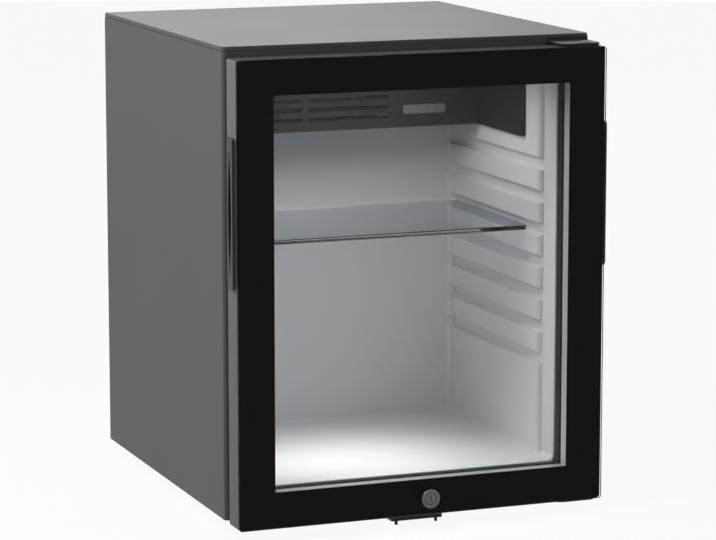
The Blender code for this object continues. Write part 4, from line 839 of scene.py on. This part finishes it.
def lamp_and_knob():
    """Ribbed lamp lens, thermostat knob with its pointer, and the dial's marks on the cover."""
    left, right = CONTROLS_X - LENS_HALF, CONTROLS_X + LENS_HALF
    lens = soft_slab((left, LENS_FRONT, LENS_LOW), (right, LENS_BACK, LENS_HIGH), "Y", LENS_CORNER, 0.0005)
    dress(shape("lamp_window", lens), "lamp_lens", "lamp_lens")
    margin = 0.003
    pitch = 2 * (LENS_HALF - margin) / (LENS_RIBS - 1)
    rib = prism(arc((left + margin, LENS_FRONT + 0.0002), 0.0006, 180, 360, 8), "Z", LENS_LOW + 0.0016,
                LENS_HIGH - 0.0016)
    dress(repeated(shape("lamp_window_ribs", rib), LENS_RIBS, "lamp_lens", (pitch, 0, 0)), "lamp_lens")

    centre = (CONTROLS_X, KNOB_HEIGHT)
    rim, skirt = KNOB_RADIUS - 0.0016 - KNOB_ROUND, KNOB_RADIUS - 0.0005
    profile = [(rim + KNOB_ROUND * sin(a), KNOB_FRONT + KNOB_ROUND * (1 - cos(a)))
               for a in quarter(6)]
    profile += [(skirt, KNOB_BACK - 0.0012), (skirt, KNOB_BACK), (KNOB_STEM, KNOB_BACK), (KNOB_STEM, 0.1957)]
    knob = shape("knob_cap", turned(profile, "Y", centre))
    groove = soft_slab((CONTROLS_X - 0.0009, KNOB_FRONT - 0.001, KNOB_HEIGHT + 0.0030),
                       (CONTROLS_X + 0.0009, KNOB_FRONT + 0.0008, KNOB_HEIGHT + 0.0105), "Y", 0.0008, 0.0002)
    boolean(knob, groove)
    dress(knob, "dark_plastic", "thermostat_knob", body="knob")
    ridge = prism(arc((CONTROLS_X, KNOB_HEIGHT + KNOB_RADIUS - 0.00135), 0.0005, 0, 330, 11), "Y",
                  KNOB_FRONT + 0.0016, KNOB_BACK - 0.0013)
    ridges = repeated(shape("knob_ridges", ridge), KNOB_RIDGES, "dark_plastic", turn=(0, 360 / KNOB_RIDGES, 0),
                      centre=(CONTROLS_X, 0, KNOB_HEIGHT))
    dress(ridges, "dark_plastic", body="knob")
    pointer = soft_slab((CONTROLS_X - 0.0006, KNOB_FRONT + 0.0003, KNOB_HEIGHT + 0.0033),
                        (CONTROLS_X + 0.0006, KNOB_FRONT + 0.0009, KNOB_HEIGHT + 0.0102), "Y", 0.0005, 0.0002)
    dress(shape("knob_pointer", pointer), "white_plastic", body="knob")
    reach = (KNOB_RADIUS + 0.0025) * sqrt(0.5)
    mark = [(0.0006, COVER_FRONT - 0.0003), (0.0009, COVER_FRONT - 0.0001), (0.0009, COVER_FRONT + 0.0002)]
    mark = shape("dial_marks", turned(mark, "Y", (CONTROLS_X - reach, KNOB_HEIGHT - reach), 16))
    turn = (0, 270 / (DIAL_MARKS - 1), 0)
    dress(repeated(mark, DIAL_MARKS, "white_plastic", turn=turn, centre=(CONTROLS_X, 0, KNOB_HEIGHT)),
          "white_plastic")
    worked("lamp_board", "circuit_board", 0.0001)
    worked("thermostat_body", "white_plastic", 0.0008)


def shelf_and_feet():
    """Polished glass shelf, and the four feet clipped under the base."""
    half = ROOM_HALF - 0.001
    plate = soft_slab((-half, SHELF_FRONT, SHELF_LOW), (half, SHELF_BACK, SHELF_LOW + SHELF_THICK), "Z", 0.006,
                      0.0009)
    dress(shape("glass_shelf", plate), "glass", "shelf_glass", body="shelf", look="shelf_pane")
    for row, y in FOOT_ROWS:
        for side, x in (("left", -FOOT_X), ("right", FOOT_X)):
            foot = shape(f"moulded_foot_{row}_{side}", turned(FOOT_SECTION, "Z", (x, y), 48))
            dress(foot, "rubber", f"foot_{row}_{side}")


def finned(name, stands_for, low, high, count, first_end, last_end):
    """Thin plates pressed on a tube, joined by the collars between them."""
    plate = prism(pane((low[1], low[2]), (high[1], high[2]), 0.002, 4), "X", low[0], high[0])
    plates = repeated(shape(name, plate), count, "aluminium", step=(FIN_PITCH, 0, 0))
    for radius, reach, operation in ((TUBE_RADIUS + 0.0015, 0.0, "UNION"),
                                     (TUBE_RADIUS + 0.0006, 0.02, "DIFFERENCE")):
        along = (Vector(last_end) - Vector(first_end)).normalized() * reach
        ends = [Vector(first_end) - along, Vector(last_end) + along]
        collar = skin(bmesh.new(), [lift(circle((end.y, end.z), radius, 32), "X", end.x) for end in ends])
        boolean(plates, collar, operation)
    dress(plates, "aluminium", stands_for)


def cold_side():
    """Evaporator: its bent tube, its fins, its tray and the grommets round the tube."""
    left, right, end, y, z = PORT_LEFT, PORT_RIGHT, PORT_Y - GAP, EVAPORATOR_Y, EVAPORATOR_Z
    line = bent([(left, end, z), (left, y, z), (right, y, z), (right, end, z)], TIGHT_BEND)
    pipe("evaporator_bent_tube", line, TUBE_RADIUS, "aluminium", "evaporator_tube")
    finned("evaporator_plates", "evaporator_fins", (-0.1175, 0.191, 0.3806), (-0.1165, 0.253, 0.4346), 12,
           (-0.117, y, z), (0.037, y, z))
    for side, x in (("left", left), ("right", right)):
        ring = turned([(GROMMET_INNER, ROOM_DEPTH), (GROMMET_OUTER, ROOM_DEPTH), (GROMMET_OUTER, GROMMET_END),
                       (GROMMET_INNER, GROMMET_END)], "Y", (x, z), 48, ring=True)
        dress(shape(f"grommet_{side}", ring), "rubber", f"tube_grommet_{side}", edge=0.0006)
    worked("drip_tray", "white_plastic", 0.0004)


def seam(name, axis, centre, radius, place):
    """Weld bead round a pipe."""
    low, high = place - SEAM_HALF, place + SEAM_HALF
    profile = [(radius - 0.001, low), (radius + 0.0001, low)]
    profile += [(radius + SEAM_PROUD * sin(a), place - SEAM_HALF * cos(a))
                for a in (radians(18 * i) for i in range(1, 10))]
    profile += [(radius + 0.0001, high), (radius - 0.001, high)]
    dress(shape(name, turned(profile, axis, centre, 48, ring=True)), "black_paint")


def warm_side():
    """Absorption unit on the back: boiler, condenser, absorber coil, vessel and their holders."""
    boiler = (BOILER_X, UNIT_Y)
    profile = [(0.0085, 0.045), (0.010, 0.0465), (0.010, 0.3285), (0.0085, 0.330)]
    dress(shape("boiler_pipe", turned(profile, "Z", boiler, 48)), "black_paint", "boiler_tube")
    inner, outer, rim = 0.0103, JACKET_RADIUS, JACKET_RADIUS - 0.0008
    profile = [(inner, JACKET_LOW), (rim, JACKET_LOW), (outer, JACKET_LOW + 0.0008)]
    for groove in JACKET_GROOVES:
        profile += [(outer, groove - 0.0022), (outer - 0.0005, groove - 0.0012), (rim, groove),
                    (outer - 0.0005, groove + 0.0012), (outer, groove + 0.0022)]
    profile += [(outer, JACKET_HIGH - 0.0008), (rim, JACKET_HIGH), (inner, JACKET_HIGH)]
    dress(shape("jacket", turned(profile, "Z", boiler, 72, ring=True)), "galvanised", "boiler_jacket")
    worked("boiler_clamp", "galvanised", 0.0002)
    worked("vessel_cradle", "galvanised", 0.0003)

    low, high, fall, far = EVAPORATOR_Z, CONDENSER_HIGH, CONDENSER_FALL, CONDENSER_FAR
    line = bent([(BOILER_X, UNIT_Y, 0.3303), (BOILER_X, UNIT_Y, high), (far, UNIT_Y, high - fall),
                 (far, UNIT_Y, low), (PORT_RIGHT, UNIT_Y, low), (PORT_RIGHT, PORT_Y, low)], WIDE_BEND)
    pipe("condenser_pipe", line, TUBE_RADIUS, "black_paint", "condenser_tube")
    first, last = ((x, UNIT_Y, high - fall / (BOILER_X - far) * (BOILER_X - x)) for x in (-0.0765, 0.1055))
    finned("condenser_plates", "condenser_fins", (first[0] - 0.0004, 0.3363, 0.4195),
           (first[0] + 0.0004, 0.3803, 0.4565), 14, first, last)

    left, right, coil_y = PORT_LEFT, COIL_RIGHT, COIL_Y
    points = [(left, PORT_Y, low), (left, coil_y, low)]
    for number in range(COIL_RUNS):
        ends = (left, right) if number % 2 == 0 else (right, left)
        points += [(x, coil_y, COIL_HIGH - COIL_PITCH * number) for x in ends]
    points.append((left, coil_y, COIL_FOOT))
    pipe("absorber_bent_coil", bent(points, WIDE_BEND), TUBE_RADIUS, "black_paint", "absorber_coil")

    drum = (coil_y, DRUM_HEIGHT)
    dome = [(DRUM_RADIUS * sin(a), DRUM_DOME * (1 - cos(a))) for a in quarter(10)[2:]]
    profile = [(r, -0.165 + step) for r, step in dome] + [(r, 0.058 - step) for r, step in dome[::-1]]
    dress(shape("absorber_drum", turned(profile, "X", drum)), "black_paint", "absorber_vessel")
    line = bent([(0.0583, *drum), (0.082, *drum), (0.082, coil_y, 0.020), (BOILER_X, UNIT_Y, 0.020),
                 (BOILER_X, UNIT_Y, 0.0447)], TIGHT_BEND)
    pipe("return_bent_pipe", line, 0.008, "black_paint", "return_pipe")
    for bead in (("drum_seam_left", "X", drum, DRUM_RADIUS, -0.1540),
                 ("drum_seam_right", "X", drum, DRUM_RADIUS, 0.0470),
                 ("boiler_top_seam", "Z", boiler, 0.0085, 0.3312),
                 ("boiler_foot_seam", "Z", boiler, 0.0085, 0.0440),
                 ("coil_foot_seam", "Z", (left, coil_y), TUBE_RADIUS, 0.1042)):
        seam(*bead)
    for part in (("terminal_box", "dark_plastic", 0.0008), ("mains_inlet", "dark_plastic", 0.0003),
                 ("rear_bulkhead", "galvanised", 0.0002), ("base_plate", "galvanised", 0.0003),
                 ("foam_insulation", "foam", 0.0003), ("front_frame", "case_paint", 0.0002)):
        worked(*part)
    line = bent([(0.0703, 0.3306, 0.351), (0.114, 0.3306, 0.351), (0.114, UNIT_Y, 0.312),
                 (0.114, UNIT_Y, 0.3003)], 0.0072)
    pipe("heater_lead", line, 0.003, "rubber", "heater_cable", fineness=4)


def glazed_door():
    """Front glass over its printed border, the frame, the sealed glazing and the gasket."""
    low, high = (-HALF_WIDTH, DOOR_LOW), (HALF_WIDTH, DOOR_HIGH)
    lock = circle((LOCK_X, LOCK_Z), LOCK_HOLE)
    front = soft_slab((low[0], DOOR_FACE, low[1]), (high[0], GLASS_BACK, high[1]), "Y", DOOR_CORNER, 0.0008)
    front = shape("face_glass", front)
    boolean(front, prism(lock, "Y", DOOR_FACE - 0.002, GLASS_BACK + 0.002))
    dress(front, "glass", "front_glass", body="door")
    outline = pane((low[0] + GAP, low[1] + GAP), (high[0] - GAP, high[1] - GAP), DOOR_CORNER)
    border_of = shape("printed_border", prism(outline, "Y", PRINT_FRONT, PRINT_BACK))
    for opening in (pane(WINDOW_LOW, WINDOW_HIGH, 0.0015), lock):
        boolean(border_of, prism(opening, "Y", PRINT_FRONT - 0.002, PRINT_BACK + 0.002))
    dress(border_of, "black_print", "glass_border_print", body="door")
    inner = soft_slab(INNER_LOW, INNER_HIGH, "Y", 0.001, 0.0004)
    dress(shape("back_glass", inner), "glass", "inner_glass", body="door")
    worked("door_frame", "frame_plastic", 0.0006, body="door")
    worked("glass_spacer", "aluminium", 0.0003, body="door", look="spacer")
    worked("glazing_bead", "dark_plastic", 0.0008, body="door")

    wide, rear, front = GASKET_WIDE, GASKET_REAR, GASKET_FRONT
    folds = [(0.0, rear), (0.0, rear - 0.0035), (0.0034, rear - 0.0037), (0.0008, rear - 0.0052),
             (0.0034, rear - 0.0066), (0.0010, rear - 0.0080), (0.0034, front + 0.0030), (0.0, front + 0.0028),
             (0.0, front)]
    outline = folds + [(wide - inset, place) for inset, place in reversed(folds)]
    radii = [0.0007, 0.0010, 0.0005, 0.0005, 0.0006, 0.0005, 0.0005, 0.0009, 0.0004]
    outline = rounded(outline, radii + radii[::-1], 4)
    profile = [(GASKET_INSET + inset, place) for inset, place in outline]
    dress(shape("gasket_bellows", border(profile, low, high, GASKET_INSET + 0.004)), "rubber", "door_gasket",
          body="door", crease=40)


def bow(length, width):
    """A slim lens standing upright: two bows that meet above and below."""
    steps = 40
    right = []
    for i in range(steps + 1):
        share = i / steps - 0.5
        right.append((GRIP_Y + width / 2 * max(cos(pi * share), 0.0) ** 0.8, GRIP_Z + length * share))
    return right + [(2 * GRIP_Y - y, z) for y, z in right[-2:0:-1]]


def grip_outline(inset, corner):
    """The grip plate seen from its side, drawn in by an inset."""
    deep, tall = GRIP_HALF_DEEP - inset, GRIP_HALF_TALL - inset
    return pane((GRIP_Y - deep, GRIP_Z - tall), (GRIP_Y + deep, GRIP_Z + tall), corner)


def finger_grips():
    """Grip let into each edge of the door: a plate proudest at its front, round a lens-shaped bowl."""
    front = GRIP_Y - GRIP_HALF_DEEP
    slope = (GRIP_PROUD - GRIP_REAR_PROUD) / (2 * GRIP_HALF_DEEP)
    for side, sign in (("left", -1), ("right", 1)):
        loops = [lift(grip_outline(0.0, GRIP_CORNER), "X", sign * (HALF_WIDTH + GAP))]
        for angle in quarter(4):
            inset = GRIP_EDGE * (1 - cos(angle))
            drop = GRIP_EDGE * (1 - sin(angle))
            loops.append([(sign * (HALF_WIDTH + max(GRIP_PROUD - slope * (y - front) - drop, 0.0005)), y, z)
                          for y, z in grip_outline(inset, GRIP_CORNER - inset)])
        grip = shape(f"finger_grip_{side}", skin(bmesh.new(), loops))
        cup = prism(grip_outline(GRIP_CORNER, GRIP_CORNER), "X", sign * (HALF_WIDTH - 0.0155),
                    sign * (HALF_WIDTH + 0.00055))
        boolean(grip, cup, "UNION")
        bowl = [lift(bow(BOWL_LONG - 0.018 * (1 - sin(angle)), BOWL_WIDE - 0.0039 * (1 - sin(angle))),
                     "X", sign * (HALF_WIDTH - 0.0015 - 0.0125 * cos(angle))) for angle in quarter(8)]
        bowl.append(lift(bow(BOWL_LONG, BOWL_WIDE), "X", sign * (HALF_WIDTH + 0.007)))
        boolean(grip, skin(bmesh.new(), bowl))
        dress(grip, "dark_plastic", f"grip_{side}", body="door", edge=0.0003)


def screw(name, stands_for, axis, centre, seat):
    """Low round screw head with a cross recess, facing down its axis."""
    profile = [(SCREW_RADIUS * sin(a), seat - 0.0014 * cos(a) ** 0.8) for a in quarter(9)[1:9]]
    profile += [(SCREW_RADIUS, seat - 0.00025), (SCREW_RADIUS, seat)]
    head = shape(name, turned(profile, axis, centre, 40))
    for wide, tall in ((0.0004, 0.0017), (0.0017, 0.0004)):
        arm = pane((centre[0] - wide, centre[1] - tall), (centre[0] + wide, centre[1] + tall), 0.0001, 2)
        boolean(head, prism(arm, axis, seat - 0.002, seat - 0.0006))
    dress(head, "chrome", stands_for)


def hinges():
    """Painted brackets, pins with domed heads, bushes in the door and the screws."""
    for name, up, edge in (("top", 1, DOOR_HIGH), ("bottom", -1, DOOR_LOW)):
        far = edge + up * 0.0031
        worked(f"{name}_hinge_bracket", "black_paint", 0.0004)
        pin = [(0.0028, -0.020), (PIN_RADIUS, -0.0190), (PIN_RADIUS, 0.0003), (PIN_HEAD, 0.0003),
               (PIN_HEAD, 0.0006)]
        pin += [(PIN_HEAD * cos(a), 0.0006 + 0.0006 * sin(a)) for a in (radians(12 * i) for i in range(1, 7))]
        pin = [(radius, far + up * rise) for radius, rise in pin]
        dress(shape(f"{name}_pivot_pin", turned(pin, "Z", (HINGE_X, HINGE_Y), 48)), "chrome",
              f"{name}_hinge_pin", look="lock_metal")
        deep = edge - up * 0.016
        bush = turned([(0.0038, deep), (0.0063, deep), (0.0063, edge), (0.0038, edge)], "Z", (HINGE_X, HINGE_Y),
                      48, ring=True)
        dress(shape(f"{name}_pivot_bush", bush), "white_plastic", f"{name}_hinge_bush", body="door",
              edge=0.0003)
        for side, x in HINGE_SCREWS:
            screw(f"{name}_bracket_screw_{side}", f"{name}_hinge_screw_{side}", "Y", (x, edge - up * 0.0045),
                  -0.0031)


def lock_parts():
    """Cylinder lock with its keyway, its cam and the catch under the case."""
    centre = (LOCK_X, LOCK_Z)
    section = [(0.0063, -0.0458), (0.0068, -0.0462), (0.0090, -0.0462), (0.0097, -0.0460), (0.0100, -0.0456),
               (0.0100, -0.0453), (0.0088, -0.0453), (0.0088, -0.0195), (0.0063, -0.0195)]
    dress(shape("lock_sleeve", turned(section, "Y", centre, 72, ring=True)), "chrome", "lock_housing",
          body="door", look="lock_metal")
    section = [(0.0036, -0.0452), (0.0043, -0.0454), (0.0050, -0.0456), (0.0057, -0.0456), (0.0060, -0.0453),
               (0.0060, -0.0195)]
    plug = shape("lock_plug", turned(section, "Y", centre))
    half = [(-0.0006, -0.0031), (0.0002, -0.0031), (0.0002, -0.0010), (0.0006, -0.0006)]
    outline = [(LOCK_X + x, LOCK_Z + z) for x, z in half + [(-x, -z) for x, z in half]]
    keyway = prism(outline, "Y", -0.0475, -0.0424)
    boolean(plug, keyway)
    dress(plug, "chrome", "lock_cylinder", body="lock", look="lock_metal")
    worked("lock_cam", "galvanised", 0.0003, body="lock")
    worked("lock_catch", "black_paint", 0.0003)
    for side, x in CATCH_SCREWS:
        screw(f"catch_plate_screw_{side}", f"catch_screw_{side}", "Z", (x, 0.0204), -0.0026)


def floor_finish():
    """Plain pale floor that shows as white and keeps the fridge's shadow."""
    finish, board = new_finish("pale_floor")
    seen, mirrored, through = board.rays("Is Camera Ray", "Is Glossy Ray", "Is Transmission Ray")
    grain = board.noise(3.0, 2.0)
    mat = board.principled(Base_Color=board.blend(grain * 0.1 + seen * 0.9, grey(0.48), grey(1.0)),
                           Roughness=0.85, Specular_IOR_Level=0.1)
    glow = board.node("ShaderNodeEmission", {"Color": grey(1.0), "Strength": 1.0})
    board.show(board.node("ShaderNodeMixShader",
                          {0: (seen + mirrored + through) * FLOOR_WHITE, 1: mat, 2: glow}))
    return finish


def make_studio():
    """White surroundings, a pale floor, soft lamps and the photographed view."""
    scene = bpy.context.scene
    scene.view_settings.view_transform = "Standard"
    floor = shape("floor", prism(circle((0.0, 0.2), 6.0, 96), "Z", -FOOT_HEIGHT - 0.02, -FOOT_HEIGHT))
    floor.data.materials.append(floor_finish())

    world = bpy.data.worlds.new("studio")
    scene.world = world
    world.use_nodes = True
    world.node_tree.nodes.clear()
    board = Board(world.node_tree)
    seen, mirrored, through = board.rays("Is Camera Ray", "Is Glossy Ray", "Is Transmission Ray")
    strength = board.node("ShaderNodeMapRange", {
        "Value": seen + mirrored + through, "From Max": 1.0, "To Min": WORLD_LIGHT, "To Max": 1.0})
    board.node("ShaderNodeOutputWorld", {
        "Surface": board.node("ShaderNodeBackground", {"Color": grey(1.0), "Strength": strength})})

    for name, place, aim, sides, power, spread in LAMPS:
        light = bpy.data.lights.new(name, "AREA")
        light.shape = "RECTANGLE"
        light.size, light.size_y = sides
        light.energy = power
        light.spread = radians(spread)
        lamp = linked(name, light)
        lamp.visible_camera = lamp.visible_transmission = False
        lamp.visible_glossy = not name.startswith("cabin")
        lamp.location = place
        lamp.rotation_euler = (Vector(aim) - Vector(place)).to_track_quat("-Z", "Y").to_euler()

    view = bpy.data.cameras.new("view")
    view.lens = CAMERA_LENS
    view.sensor_fit = "HORIZONTAL"
    view.sensor_width = SENSOR
    view.clip_start = 0.05
    view.clip_end = 50.0
    camera = linked("view", view)
    camera.location = CAMERA_PLACE
    camera.rotation_euler = (radians(CAMERA_TILT), 0.0, radians(CAMERA_TURN))
    scene.camera = camera


make_studio()
FINISHES = make_finishes()
for build in (folded_panels, folded_cap, formed_liner, louvred_cover, lamp_and_knob, shelf_and_feet, cold_side,
              warm_side, glazed_door, finger_grips, hinges, lock_parts):
    build()
